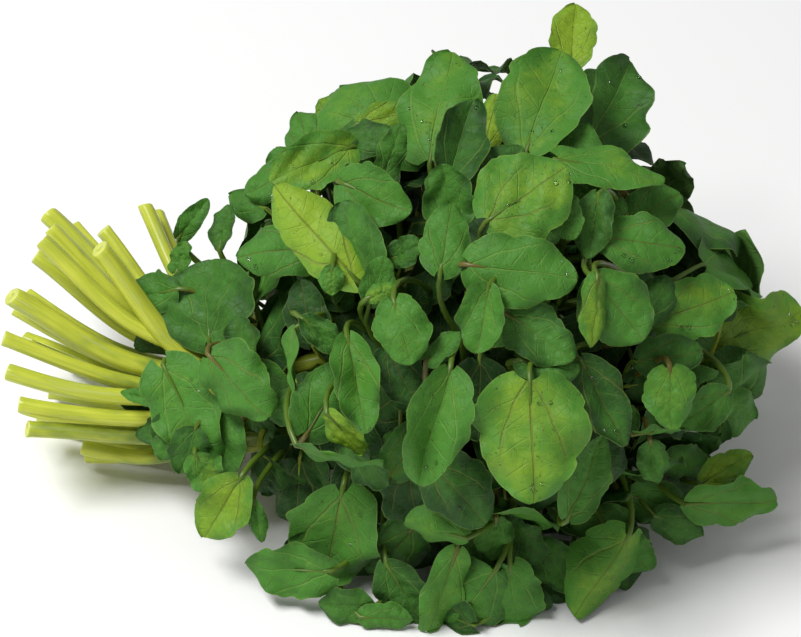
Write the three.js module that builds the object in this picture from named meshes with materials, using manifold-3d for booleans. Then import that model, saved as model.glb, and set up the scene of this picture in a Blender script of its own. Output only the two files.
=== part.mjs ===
// A bunch of watercress lying on its side: cut sprigs gathered at the neck by an elastic band.
// Millimetres, +Z up. The cut ends point to -X and the leafy heads to +X. The show side faces -Y and up.
// Every sprig is one grown piece, so its stem, leaf stalks and leaf blades are joined into one solid.
import * as THREE from "three";
import Module from "manifold-3d";

const wasm = await Module();
wasm.setup();

// ---- Driving dimensions ----

const SHOW_ELEVATION = 38; // degrees above the table that the show side faces
const HEAD = { x: 24, z: 50, alongX: 68, acrossY: 72, above: 60, below: 52 }; // the leafy head, an ellipsoid
const NECK = { x: -43, y: -5, z: 27 }; // the middle of the bundle inside the band
const FAN = { y: 12, z: 33 }; // the middle of the splayed cut ends
const BUNDLE_RADIUS = 17; // of the stems inside the band
const GAP = 0.3; // kept between two separate pieces
const BLADE_THICK = 0.9;
const TABLE_CLEAR = 0.6; // lowest that the middle of a blade lies before the bunch is set down
const STALK_RADIUS = 0.75;
const STEM_TIP_RADIUS = 1.1;
const STEM_SIDES = 6;
const STEM_STEPS = 8;
const BOW = { inward: 0.3, sag: 3 }; // how the stems curve between their cut ends and the neck
const JOINTS = { count: 12, first: 0.43, apart: 0.05 }; // where leaves may grow, as shares of a stem's length
const STALK = { pull: 0.36, along: 0.6, under: 0.75, best: 12 }; // how a stalk bends, and its best length
const STALK_COST = { atStem: 16, atBlade: 10, taken: 4 }; // of a sharp bend at either end, and of a busy stem
const STALK_TRIES = 70;
const GREENS = [0x4f7f36, 0x5f933c, 0x3f6d33];
const BAND_COLOUR = 0xc2a06a;
const STALK_STEPS = 2;
const BAND = { width: 5, thick: 1.2, clear: 0.5, sides: 24 };
const LAYER_GAP = 1.7; // between the middles of two blades that lie over each other
const STEM_CLEAR = 3.2; // between the middle of a blade and the middle of a stem
const SETTLE_ROUNDS = 60;
const SETTLE = { reach: 0.56, step: 0.8, stiff: 0.08, spin: 0.12, home: 0.02, hold: 0.3 };
const SHOWN_GIVE = 0.4; // how far a shown leaf gives way, where a hidden one gives 1
const TO_SHOW = 0.65; // how far the shown leaves turn from the head's skin to the show side
const CROWDED = 6; // a hidden leaf with more crossings than this is left out
const SMOOTHING = [0.2, 0.15, 0.1, 0.12, 0.17, 0.25, 0.08, 0.05, 0.3, 0.22, 0.28, 0.35, 0.02]; // facets finer than this are merged
const NECK_SLACK = 1.18; // slanting stems need a little more room than their radius

// Cut ends of the stems: x, y, z and radius.
const STEMS = [
  [-92, 25, 59, 2.6], [-91, 12, 65, 1.9], [-78, 2, 67, 2.6], [-93, 5, 66, 2.1], [-67, 36, 54, 1.9],
  [-64, 44, 48, 1.9], [-78, 36, 47, 2.2], [-98, 28, 33, 1.9], [-101, -2, 53, 2.6], [-103, -8, 47, 2.1],
  [-102, -14, 40, 2.3], [-99, -18, 33, 2.2], [-97, -20, 26, 2.3], [-83, -14, 13, 2.0], [-82, -6, 6, 1.8],
  [-79, 3, 4, 2.1], [-95, 12, 4, 2.2], [-92, 22, 5, 2.3], [-88, 34, 7, 2.2], [-96, 42, 18, 2.2],
  [-90, 48, 30, 2.0], [-99, 24, 20, 2.3], [-97, 10, 30, 2.2], [-94, 32, 46, 2.2], [-99, -4, 20, 2.2],
  [-86, 46, 42, 2.0], [-100, 8, 44, 2.1], [-95, 14, 54, 2.2], [-93, 2, 11, 2.1], [-98, 16, 38, 2.0],
];

// Leaves of the show side, laid out on a board that faces the viewer of that side:
// across and rise on the board, lift off the head, heading of the tip, length, width,
// tilt of the tip, roll, fold along the midrib, curl along the blade (degrees).
const SHOW_LEAVES = [
  // crown
  [10, 93, -4, 80, 36, 24, -10, -12, 6, 25], [15, 80, 2, 75, 28, 18, -15, 15, 35, -30],
  [12, 67, 3, 100, 18, 17, 20, 0, 30, -60], [12, 56, 6, 80, 19, 14, -10, 5, 8, 15],
  [-6, 66, 4, -25, 22, 17, 5, 10, 10, 20], [-12, 93, -2, 130, 24, 30, -25, 0, 10, 45],
  [-26, 86, -4, 105, 16, 12, -10, 0, 10, 15], [-32, 78, -8, 120, 16, 12, 0, 0, 10, 20],
  [-23, 75, 2, 205, 24, 16, 10, -15, 15, 20], [-34, 73, -3, 200, 18, 14, 5, 0, 8, 20],
  [-21, 57, 8, 133, 34, 18, 5, 5, 14, 12], [-11, 55, 3, 110, 24, 18, -5, -20, 8, 20],
  [-32, 53, 0, 185, 24, 16, -5, 0, 15, 20], [-2, 79, 0, 70, 16, 9, 0, 30, 10, 10],
  
  [32, 66, 9, 35, 26, 27, 0, -5, 5, 14],
  [37, 92, 2, 72, 33, 26, -8, -5, 12, 18], [55, 94, -5, 65, 31, 25, -5, 15, 15, 20],
  [46, 115, -10, 85, 20, 14, 0, 0, 15, 10], [54, 74, 2, -10, 30, 18, 0, -35, 15, 15],
  [41, 61, 4, -60, 14, 12, 0, 0, 8, 10],
  [49, 59, 0, -100, 18, 14, 0, 20, 35, 0], [62, 55, 2, -5, 24, 18, -8, -10, 12, 15],
  // over the neck
  [-45, 41, 10, 95, 24, 32, -15, 0, 6, 35], [-50, 14, 12, -57, 30, 21, 5, -5, 8, 20],
  [-38, 20, 11, -42, 24, 20, 0, 5, 6, 20], [-62, 42, 5, 190, 16, 13, -5, 0, 8, 20],
  [-58, 7, 6, -100, 14, 11, 0, 0, 8, 20], [-65, 17, 6, 175, 12, 5, 0, 20, 20, 10],
  [-48, -2, 6, -60, 13, 12, 0, 0, 5, 10], [-44, -10, 8, -118, 21, 16, 5, 0, 12, 10],
  [-36, -15, 4, -80, 13, 6, 0, 0, 20, 10], [-46, 60, 0, 80, 13, 8, -5, 0, 15, 15],
  [-55, 62, -2, 40, 15, 7, 10, 30, 20, 60], [-57, 52, 0, 70, 9, 7, 0, 0, 5, 10],
  [-30, -3, 1, -30, 15, 11, 0, 30, 35, 20],
  // middle
  [-10, 19, 8, -78, 26, 16, 5, -10, 35, 12], [1, 32, 8, -75, 18, 16, 0, 5, 12, 15],
  [-4, 42, 6, 20, 8, 6, 0, 0, 5, 0], [-19, 31, 2, -40, 14, 12, 0, -10, 45, -20],
  [-17, 45, 4, -90, 8, 7, 0, 0, 5, 0], 
  [-27, 23, 2, -85, 22, 12, 0, 65, 10, 10], [-19, 15, -3, 60, 22, 18, -5, 0, 5, 10],
  [-13, 7, 7, -62, 16, 11, 0, 10, 15, 15], [-14, 2, 8, -5, 24, 14, 0, 65, 15, 20],
  [33, 6, 10, -88, 34, 32, 3, 0, 6, 14], [9, 9, 8, -105, 33, 26, 0, -12, 45, 12],
  [21, 35, 5, -100, 18, 15, 0, 15, 25, -25], [31, 47, 6, -8, 30, 21, 0, 0, 8, 12],
  [36, 31, 1, -35, 21, 16, 0, 0, 10, 10], [38, 24, 2, -10, 16, 12, 0, 0, 8, 10],
  [11, 29, 1, 40, 12, 9, 0, -40, 15, 10],
  [2, 53, 0, 20, 12, 10, 0, 0, 30, -20], 
  // right
  [55, 38, 3, -50, 22, 21, 0, 0, 10, -10], [49, 37, 6, -95, 19, 10, 0, -35, 10, 10],
  [76, 39, -2, 20, 25, 18, -5, 0, 10, 15], 
  [93, 33, 0, 30, 28, 30, 0, 0, 28, 10], [88, 9, -4, -30, 18, 17, -5, 0, 8, 20],
  [77, 13, 2, -150, 16, 13, 0, 0, 20, 30], [68, 16, 6, -88, 17, 16, 5, 0, 22, 5],
  [52, 14, 0, -62, 26, 15, 0, -20, 20, 10], [66, 7, 2, 5, 14, 9, 0, 65, 10, 5],
  [64, 0, 3, -82, 12, 10, 0, 0, 25, -20], 
  [80, 5, 0, -120, 12, 10, 0, 0, 10, 10], [84, -2, 2, 20, 16, 10, 0, -20, 12, 10],
  // along the table
  [-16, -17, 10, -95, 32, 27, -5, 0, 10, 35], [-2, -23, 4, -118, 24, 18, 0, 0, 10, 25],
  [-29, -27, 4, 185, 24, 17, -10, 0, 8, 20], [47, -4, 3, 68, 25, 15, 0, 10, 25, 12],
  [85, -10, 4, -6, 26, 18, -5, 10, 25, 5], [66, -11, 2, -20, 19, 14, 0, 0, 10, 15],
  [51, -27, 8, -122, 28, 22, 5, 0, -32, 10], [53, -16, 3, -10, 17, 13, 0, 0, 8, 10],
  [59, -23, 3, -50, 18, 14, 0, 0, 15, 10], [29, -35, 5, -85, 23, 18, 0, 0, -15, 20],
  [18, -35, 6, -120, 26, 22, 0, 0, -12, 20], [11, -31, 9, -108, 28, 14, 0, -45, 20, 10],
  [9, -16, 6, 165, 17, 14, 0, -10, -15, 10], [15, -8, 2, -50, 23, 20, 0, 0, 15, -15],
  [2, -35, 3, -60, 22, 15, 0, 0, 10, 15], [-3, -40, 3, 0, 14, 10, 0, 0, 15, 10],
  [-14, -37, 2, 180, 15, 12, 0, 0, 10, 10], 
  [24, -20, 3, -90, 13, 11, 0, 0, 10, 10], [21, -25, 5, -70, 15, 9, 0, 40, 15, 5],
];
const BACK_LEAVES = 80; // spread evenly round the head, of which those not on the show side are kept
const BACK_EDGE = 0.15; // how far round towards the show side they are kept
const CROWN = { left: 95, leftSlope: 0.9, right: 120, rightSlope: 0.75 }; // the show side's upper outline, in mm
const INNER_LEAVES = 18; // the same, one layer deeper, all round
const INNER_DEPTH = 17;

// ---- Frames and small helpers ----

const vec = (x, y, z) => new THREE.Vector3(x, y, z);
const radians = THREE.MathUtils.degToRad;
const mix = THREE.MathUtils.lerp;
const SHOW = vec(0, -Math.cos(radians(SHOW_ELEVATION)), Math.sin(radians(SHOW_ELEVATION)));
const BOARD_UP = vec(0, Math.sin(radians(SHOW_ELEVATION)), Math.cos(radians(SHOW_ELEVATION)));
const ACROSS = vec(1, 0, 0);

let seed = 20731;

function random(low, high) {
  seed = (seed * 16807) % 2147483647;
  return low + ((high - low) * seed) / 2147483647;
}

// A point walked along several directions from a start.
function along(start, ...steps) {
  const point = start.clone();
  for (const [direction, distance] of steps) {
    point.addScaledVector(direction, distance);
  }
  return point;
}

// The part of a vector that lies across a direction, made unit length.
function acrossTo(vector, direction) {
  return along(vector, [direction, -vector.dot(direction)]).normalize();
}

function toSolid(corners, faces) {
  const vertProperties = new Float32Array(corners.flatMap((corner) => corner.toArray()));
  const triVerts = new Uint32Array(faces.flat());
  return new wasm.Manifold(new wasm.Mesh({ numProp: 3, vertProperties, triVerts }));
}

// ---- The leafy head as a smooth shape that the leaves are laid on ----

function headLevel(point) {
  const height = point.z > HEAD.z ? HEAD.above : HEAD.below;
  const x = (point.x - HEAD.x) / HEAD.alongX;
  const y = point.y / HEAD.acrossY;
  const z = (point.z - HEAD.z) / height;
  return x * x + y * y + z * z - 1;
}

function headNormal(point) {
  const height = point.z > HEAD.z ? HEAD.above : HEAD.below;
  const x = (0.6 * (point.x - HEAD.x)) / HEAD.alongX ** 2;
  const y = point.y / HEAD.acrossY ** 2;
  const z = (point.z - HEAD.z) / height ** 2;
  return vec(x, y, z).normalize();
}

// The first point of the head met from the show side at a place on the board.
function showPoint(across, rise) {
  const start = along(vec(0, 0, 0), [ACROSS, across], [BOARD_UP, rise]);
  let best = start;
  let bestLevel = Infinity;
  for (let depth = 120; depth > -60; depth -= 1) {
    const point = along(start, [SHOW, depth]);
    const level = headLevel(point);
    if (level < 0) {
      return point;
    }
    if (level < bestLevel) {
      best = point;
      bestLevel = level;
    }
  }
  return best;
}

// ---- Leaf blades ----

// A leaf lying with its middle at a point: its tip direction, width direction and normal.
function makeLeaf(centre, outward, heading, size, angles) {
  const east = acrossTo(ACROSS, outward);
  const north = outward.clone().cross(east);
  const turn = radians(heading);
  const tip = along(vec(0, 0, 0), [east, Math.cos(turn)], [north, Math.sin(turn)]);
  const side = outward.clone().cross(tip);
  const normal = outward.clone();
  tip.applyAxisAngle(side, -radians(angles.tilt));
  normal.applyAxisAngle(side, -radians(angles.tilt));
  side.applyAxisAngle(tip, radians(angles.roll));
  normal.applyAxisAngle(tip, radians(angles.roll));
  return { centre, home: centre.clone(), tip, side, normal, ...size, ...angles };
}

// The middle surface of a blade: u runs from the base to the tip, s from edge to edge.
function bladePoint(leaf, u, s, halfWidth) {
  const curl = radians(leaf.curl) + 0.001;
  const turn = curl * (u - 0.5);
  const radius = leaf.length / curl;
  const forward = radius * Math.sin(turn);
  const drop = radius * (1 - Math.cos(turn));
  const lift = Math.abs(s) * halfWidth * Math.sin(radians(leaf.fold));
  const sideways = s * halfWidth * Math.cos(radians(leaf.fold));
  const local = along(leaf.centre, [leaf.tip, forward], [leaf.normal, lift - drop], [leaf.side, sideways]);
  local.z = Math.max(local.z, TABLE_CLEAR);
  return local;
}

function bladeNormal(leaf, u) {
  const turn = radians(leaf.curl) * (u - 0.5);
  return along(vec(0, 0, 0), [leaf.normal, Math.cos(turn)], [leaf.tip, Math.sin(turn)]);
}

// Points spread over a blade, used to feel where it meets its neighbours.
function probesOf(leaf) {
  const probes = [];
  for (const u of [0.06, 0.28, 0.5, 0.72, 0.94]) {
    const share = Math.sqrt(1 - (2 * u - 1) ** 2);
    for (const s of [-0.95, -0.5, 0, 0.5, 0.95]) {
      probes.push(bladePoint(leaf, u, s, (share * leaf.width) / 2));
    }
  }
  return probes;
}

// How far a point lies above a blade, or nothing when it misses the blade.
function heightOver(leaf, point) {
  const offset = point.clone().sub(leaf.centre);
  const x = offset.dot(leaf.tip);
  const y = offset.dot(leaf.side);
  if ((x / leaf.length) ** 2 + (y / leaf.width) ** 2 > 0.27) {
    return null;
  }
  const bend = (x * x * radians(leaf.curl)) / (2 * leaf.length);
  return offset.dot(leaf.normal) - Math.abs(y) * Math.tan(radians(leaf.fold)) + bend;
}

// The probes of one blade that sit too close to another, or on its wrong side, and how far to push them.
function meeting(probes, leaf, gap) {
  const heights = probes.map((probe) => heightOver(leaf, probe));
  const found = heights.filter((height) => height !== null);
  if (found.length === 0) {
    return [];
  }
  const facing = found.reduce((sum, height) => sum + height, 0) < 0 ? -1 : 1;
  return probes.flatMap((probe, index) => {
    const needed = heights[index] === null ? 0 : gap - facing * heights[index];
    return needed > 0 ? [{ probe, push: facing * Math.min(needed, 4) }] : [];
  });
}

// Blades that cross push one another apart as stiff sheets do. The shown ones give way least,
// and mostly along the line of sight of the show side.
// The stems stay where they are and only push.
function settle(leaves, stems) {
  const poles = stems.map((stem) => stem.curve.getSpacedPoints(36).slice(8));
  for (let round = 0; round < SETTLE_ROUNDS; round += 1) {
    const probes = leaves.map(probesOf);
    const moves = leaves.map(() => ({ shift: vec(0, 0, 0), turn: vec(0, 0, 0), count: 0 }));
    leaves.forEach((leaf, i) => {
      leaf.crossing = 0;
      leaves.forEach((other, j) => {
        const reach = SETTLE.reach * (leaf.length + other.length);
        if (i === j || leaf.centre.distanceTo(other.centre) > reach) {
          return;
        }
        for (const { probe, push } of meeting(probes[i], other, LAYER_GAP)) {
          const share = leaf.give / (leaf.give + other.give);
          for (const [move, at, amount] of [[moves[i], leaf.centre, push * share],
            [moves[j], other.centre, push * (share - 1)]]) {
            const force = other.normal.clone().multiplyScalar(amount);
            move.shift.add(force);
            move.turn.add(probe.clone().sub(at).cross(force));
            move.count += 1;
          }
          leaf.crossing += 1;
        }
      });
      for (const pole of poles) {
        for (const { probe, push } of meeting(pole, leaf, STEM_CLEAR)) {
          const force = leaf.normal.clone().multiplyScalar(-push);
          moves[i].shift.add(force);
          moves[i].turn.add(probe.clone().sub(leaf.centre).cross(force));
          moves[i].count += 1;
          leaf.crossing += 1;
        }
      }
    });
    leaves.forEach((leaf, i) => {
      const { shift, turn, count } = moves[i];
      if (count > 0) {
        if (leaf.give < 1) {
          const inward = SHOW.clone().multiplyScalar(shift.dot(SHOW));
          shift.lerp(inward, 1 - SETTLE.hold);
        }
        leaf.centre.addScaledVector(shift, SETTLE.step / count);
        const spin = Math.min(turn.length() / (count * SETTLE.stiff * leaf.length ** 2), SETTLE.spin);
        const axis = turn.normalize();
        [leaf.tip, leaf.side, leaf.normal].forEach((arm) => arm.applyAxisAngle(axis, spin));
      }
      leaf.centre.lerp(leaf.home, SETTLE.home);
    });
  }
}

// Stations along a blade with their share of its width: a round leaf with a blunt tip.
function bladeRows(leaf) {
  return leaf.length > 21 ? [[0.14, 0.78], [0.5, 1], [0.84, 0.7]] : [[0.2, 0.86], [0.74, 0.86]];
}

// The space round a blade that no other piece may enter.
function bladeSpace(leaf) {
  const rows = bladeRows(leaf);
  const stretch = GAP / leaf.length;
  const half = BLADE_THICK / 2 + GAP;
  const corners = [];
  const addPair = (u, s, halfWidth) => {
    const point = bladePoint(leaf, u, s, halfWidth);
    const normal = bladeNormal(leaf, u);
    corners.push(along(point, [normal, half]), along(point, [normal, -half]));
    return corners.length - 2;
  };
  const base = addPair(-stretch, 0, 0);
  const grid = rows.map(([u, share]) => {
    const halfWidth = (share * leaf.width) / 2 + GAP;
    return [-1, 0, 1].map((s) => addPair(u, s, halfWidth));
  });
  const tip = addPair(1 + stretch, 0, 0);
  const faces = [];
  const addFace = (a, b, c) => {
    faces.push([a, c, b], [a + 1, b + 1, c + 1]);
  };
  const last = grid.length - 1;
  for (const column of [0, 1]) {
    addFace(base, grid[0][column + 1], grid[0][column]);
    for (let row = 0; row < last; row += 1) {
      addFace(grid[row][column], grid[row][column + 1], grid[row + 1][column]);
      addFace(grid[row][column + 1], grid[row + 1][column + 1], grid[row + 1][column]);
    }
    addFace(grid[last][column], grid[last][column + 1], tip);
  }
  const left = grid.map((row) => row[0]);
  const right = grid.map((row) => row[2]).reverse();
  const rim = [base, ...right.reverse(), tip, ...left.reverse()];
  rim.forEach((a, index) => {
    const b = rim[(index + 1) % rim.length];
    faces.push([a, b + 1, a + 1], [a, b, b + 1]);
  });
  return toSolid(corners, faces);
}

// ---- Stems and stalks ----

// A closed skin over rings that all have the same number of corners.
function skinSolid(rings) {
  const corners = rings.flat();
  const sides = rings[0].length;
  const faces = [];
  for (let ring = 0; ring < rings.length - 1; ring += 1) {
    for (let corner = 0; corner < sides; corner += 1) {
      const a = ring * sides + corner;
      const b = ring * sides + ((corner + 1) % sides);
      faces.push([a, b, b + sides], [a, b + sides, a + sides]);
    }
  }
  const end = (rings.length - 1) * sides;
  for (let corner = 1; corner < sides - 1; corner += 1) {
    faces.push([0, corner + 1, corner], [end, end + corner, end + corner + 1]);
  }
  return toSolid(corners, faces);
}

// Rings round a path, turned as little as possible from one to the next.
function tubeRings(path, radii, sides, upward) {
  let reference = upward;
  return path.map((point, ring) => {
    const before = path[Math.max(ring - 1, 0)];
    const after = path[Math.min(ring + 1, path.length - 1)];
    const direction = after.clone().sub(before).normalize();
    reference = acrossTo(reference, direction);
    const other = direction.clone().cross(reference);
    const turns = Array.from({ length: sides }, (_, corner) => (corner / sides) * 2 * Math.PI);
    return turns.map((turn) => {
      return along(point, [reference, radii[ring] * Math.cos(turn)], [other, radii[ring] * Math.sin(turn)]);
    });
  });
}

function tubeSolid(path, radii, sides) {
  return skinSolid(tubeRings(path, radii, sides, vec(0, 0.2, 1)));
}

// A leaf is one skin: its stalk flattens straight into the blade, thick at the midrib and thin at the rim.
function leafSolid(path, leaf) {
  const back = [...path].reverse();
  const stalk = tubeRings(back, back.map(() => STALK_RADIUS), 4, leaf.normal).reverse();
  const turned = stalk.map(([top, left, bottom, right]) => [top, right, bottom, left]);
  const rows = [...bladeRows(leaf), [1, 0.12]];
  const blade = rows.map(([u, share]) => {
    const halfWidth = (share * leaf.width) / 2;
    const middle = bladePoint(leaf, u, 0, 0);
    const normal = bladeNormal(leaf, u);
    const top = along(middle, [normal, BLADE_THICK / 2]);
    const bottom = along(middle, [normal, -BLADE_THICK / 2]);
    return [top, bladePoint(leaf, u, -1, halfWidth), bottom, bladePoint(leaf, u, 1, halfWidth)];
  });
  return skinSolid([...turned, ...blade]);
}

// Pushes the stems apart inside the band until none overlap, keeping the order they have in the fan.
function packNeck() {
  const places = STEMS.map(([, y, z]) => ({ y: (y - FAN.y) * 0.5, z: (z - FAN.z) * 0.5 }));
  for (let round = 0; round < 400; round += 1) {
    places.forEach((one, i) => {
      for (let j = 0; j < i; j += 1) {
        const other = places[j];
        const apart = Math.hypot(one.y - other.y, one.z - other.z) + 0.001;
        const wanted = (STEMS[i][3] + STEMS[j][3]) * NECK_SLACK + GAP;
        const push = Math.max(wanted - apart, 0) / (2 * apart);
        const y = (one.y - other.y) * push;
        const z = (one.z - other.z) * push;
        one.y += y;
        one.z += z;
        other.y -= y;
        other.z -= z;
      }
    });
    places.forEach((one, i) => {
      const reach = Math.hypot(one.y, one.z);
      const limit = BUNDLE_RADIUS - STEMS[i][3];
      const pull = reach > limit ? mix(1, limit / reach, 0.3) : 1;
      one.y *= pull;
      one.z *= pull;
    });
  }
  return places;
}

// A stem runs from its cut end through the band and bends gently out to its tip in the head.
function makeStem([x, y, z, radius], place) {
  const cut = vec(x, y, z);
  const neck = vec(NECK.x, NECK.y + place.y, NECK.z + place.z);
  const share = Math.hypot(place.y, place.z) / BUNDLE_RADIUS;
  const tipY = (42 * place.y) / BUNDLE_RADIUS;
  const tipZ = 50 + (34 * place.z) / BUNDLE_RADIUS;
  const tip = vec(76 - 24 * share * share, tipY, tipZ);
  const middle = cut.clone().lerp(neck, 0.5);
  middle.y = mix(middle.y, neck.y, BOW.inward);
  middle.z = mix(middle.z, neck.z, BOW.inward) - BOW.sag;
  const inner = vec(-12, mix(neck.y, tip.y, 0.24), mix(neck.z, tip.z, 0.26));
  const outer = vec(22, mix(neck.y, tip.y, 0.58), mix(neck.z, tip.z, 0.6));
  const curve = new THREE.CatmullRomCurve3([cut, middle, neck, inner, outer, tip], false, "catmullrom", 0.5);
  const path = curve.getPoints(STEM_STEPS);
  const radii = path.map((_, step) => mix(radius, STEM_TIP_RADIUS, Math.max(0, step / STEM_STEPS - 0.3) / 0.7));
  path.forEach((point, step) => {
    point.z = Math.max(point.z, radii[step] + 0.2);
  });
  return { curve, path, radii, joints: [] };
}

// A stalk leaves its stem along the stem's run and comes up to the blade from below.
function stalkPath(root, run, leaf) {
  const base = bladePoint(leaf, 0, 0, 0);
  const pull = STALK.pull * root.distanceTo(base);
  const arrival = along(base, [leaf.tip, -STALK.along * pull], [leaf.normal, -STALK.under * pull]);
  const curve = new THREE.CubicBezierCurve3(root, along(root, [run, pull]), arrival, base);
  const path = curve.getPoints(STALK_STEPS);
  path.forEach((point) => {
    point.z = Math.max(point.z, STALK_RADIUS + 0.2);
  });
  return { path, probes: curve.getPoints(8).slice(1) };
}

function nearest(point, path) {
  const segment = new THREE.Line3();
  const foot = vec(0, 0, 0);
  let best = Infinity;
  for (let step = 1; step < path.length; step += 1) {
    segment.set(path[step - 1], path[step]);
    segment.closestPointToPoint(point, true, foot);
    best = Math.min(best, foot.distanceTo(point));
  }
  return best;
}

// The lowest gap between a stalk and everything that is already in its way.
function freeRoom(probes, own, stems, stalks) {
  let room = Infinity;
  const look = (other, radius) => {
    for (const probe of probes) {
      room = Math.min(room, nearest(probe, other) - radius - STALK_RADIUS);
    }
  };
  stems.forEach((stem, index) => {
    if (index !== own) {
      look(stem.path, STEM_TIP_RADIUS + 0.6);
    }
  });
  stalks.forEach((stalk) => {
    if (stalk.stem !== own) {
      look(stalk.path, STALK_RADIUS);
    }
  });
  return room;
}

// The stem and the joint on it that a leaf grows from. Each joint bears one leaf.
function attach(leaf, stems, stalks) {
  const base = bladePoint(leaf, 0, 0, 0);
  const choices = [];
  stems.forEach((stem, index) => {
    for (let joint = 0; joint < JOINTS.count; joint += 1) {
      if (stem.joints.includes(joint)) {
        continue;
      }
      const share = JOINTS.first + JOINTS.apart * joint;
      const root = stem.curve.getPoint(share);
      const run = stem.curve.getTangent(share);
      const reach = base.clone().sub(root);
      const distance = reach.length();
      reach.normalize();
      const bends = STALK_COST.atStem * (1 - reach.dot(run)) + STALK_COST.atBlade * (1 - reach.dot(leaf.tip));
      const cost = Math.abs(distance - STALK.best) + bends + STALK_COST.taken * stem.joints.length;
      choices.push({ index, joint, root, run, cost });
    }
  });
  choices.sort((a, b) => a.cost - b.cost);
  for (const { index, joint, root, run } of choices.slice(0, STALK_TRIES)) {
    const { path, probes } = stalkPath(root, run, leaf);
    if (freeRoom(probes, index, stems, stalks) > GAP) {
      return { stem: index, joint, path };
    }
  }
  const { index, joint, root, run } = choices[0];
  return { stem: index, joint, path: stalkPath(root, run, leaf).path };
}

// ---- Leaf layout ----

function showLeaf([across, rise, lift, heading, length, width, tilt, roll, fold, curl]) {
  const touch = showPoint(across, rise);
  const outward = headNormal(touch).lerp(SHOW, TO_SHOW).normalize();
  const centre = along(touch, [outward, lift]);
  return makeLeaf(centre, outward, heading, { length, width }, { tilt, roll, fold, curl });
}

// Whether a point lies below the slopes that the head's outline has on the show side.
function inOutline(point) {
  const limit = Math.min(CROWN.left + CROWN.leftSlope * point.x, CROWN.right - CROWN.rightSlope * point.x);
  return point.dot(BOARD_UP) < limit;
}

// Leaves spread evenly round the head at a depth below its skin.
function roundLeaves(count, depth, keep) {
  const leaves = [];
  for (let index = 0; index < count; index += 1) {
    const lift = 1 - (2 * (index + 0.5)) / count;
    const turn = index * Math.PI * (3 - Math.sqrt(5));
    const ring = Math.sqrt(1 - lift * lift);
    const height = lift > 0 ? HEAD.above : HEAD.below;
    const x = HEAD.x + HEAD.alongX * ring * Math.cos(turn);
    const skin = vec(x, HEAD.acrossY * ring * Math.sin(turn), HEAD.z + height * lift);
    const outward = headNormal(skin);
    const heading = random(-75, 75);
    const length = random(24, 33);
    const width = length * random(0.62, 0.86);
    const angles = { tilt: random(-12, 26), roll: random(-24, 24), fold: random(4, 24), curl: random(-10, 45) };
    const centre = along(skin, [outward, random(-3, 3) - depth]);
    if (keep(outward, centre)) {
      leaves.push(makeLeaf(centre, outward, heading, { length, width }, angles));
    }
  }
  return leaves;
}

// ---- The elastic band ----

// The stretched outline round the stems, as a distance from the middle for each direction.
function bandOutline(places) {
  const turns = [];
  for (let index = 0; index < BAND.sides; index += 1) {
    turns.push((index / BAND.sides) * 2 * Math.PI);
  }
  const support = turns.map((turn) => {
    const reaches = places.map((place, index) => {
      const reach = place.y * Math.cos(turn) + place.z * Math.sin(turn);
      return reach + STEMS[index][3] * NECK_SLACK + BAND.clear;
    });
    return Math.max(...reaches);
  });
  return turns.map((turn) => {
    const limits = turns.map((other, index) => {
      const lean = Math.cos(turn - other);
      return lean > 0.1 ? support[index] / lean : Infinity;
    });
    return { turn, reach: Math.min(...limits) };
  });
}

function bandSolid(outline, grow) {
  const half = BAND.width / 2 + grow;
  const corners = [];
  const faces = [];
  for (const { turn, reach } of outline) {
    for (const [x, radius] of [[-half, reach - grow], [half, reach - grow], [half, reach + BAND.thick + grow],
      [-half, reach + BAND.thick + grow]]) {
      corners.push(vec(NECK.x + x, NECK.y + radius * Math.cos(turn), NECK.z + radius * Math.sin(turn)));
    }
  }
  const total = corners.length;
  for (let start = 0; start < total; start += 4) {
    for (let corner = 0; corner < 4; corner += 1) {
      const a = start + corner;
      const b = start + ((corner + 1) % 4);
      const c = (b + 4) % total;
      const d = (a + 4) % total;
      faces.push([a, b, c], [a, c, d]);
    }
  }
  return toSolid(corners, faces);
}

// ---- Cutting the pieces clear of one another ----

function boxesMeet(one, other) {
  const a = one.boundingBox();
  const b = other.boundingBox();
  return [0, 1, 2].every((axis) => a.min[axis] < b.max[axis] && b.min[axis] < a.max[axis]);
}

function cutClear(solid, cutters) {
  const near = cutters.filter((cutter) => boxesMeet(solid, cutter));
  return near.length > 0 ? solid.subtract(wasm.Manifold.union(near)) : solid;
}

// A leaf gives way to every strange stem and stalk, and to strange blades laid before it.
// Its own stalk passes through those blades, which have been opened for it.
function cutLeaf(order) {
  const solid = leafSolid(stalks[order].path, leaves[order]);
  const foreign = (_, other) => stalks[other].stem !== stalks[order].stem;
  const strangeStems = stemsGrown.filter((_, other) => other !== stalks[order].stem);
  const cleared = cutClear(solid, [bandGrown, ...strangeStems, ...stalksGrown.filter(foreign)]);
  const blades = bladesGrown.slice(0, order).filter(foreign);
  const near = blades.filter((blade) => boxesMeet(cleared, blade));
  if (near.length === 0) {
    return cleared;
  }
  return cleared.subtract(wasm.Manifold.union(near).subtract(stalksGrown[order]));
}

// Whether a solid is still one closed surface once its corners are rounded for the STEP file.
function staysClosed(solid) {
  const mesh = solid.getMesh();
  const rounded = (corner) => {
    const place = mesh.vertProperties.slice(3 * corner, 3 * corner + 3);
    return [...place].map((value) => Math.round(value * 2000)).join(" ");
  };
  const names = Array.from({ length: mesh.vertProperties.length / 3 }, (_, corner) => rounded(corner));
  const edges = new Map();
  mesh.triVerts.forEach((corner, index) => {
    const next = mesh.triVerts[index % 3 === 2 ? index - 2 : index + 1];
    const edge = [names[corner], names[next]].sort().join("|");
    edges.set(edge, (edges.get(edge) ?? 0) + 1);
  });
  return [...edges].every(([, faces]) => faces === 2);
}

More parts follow.
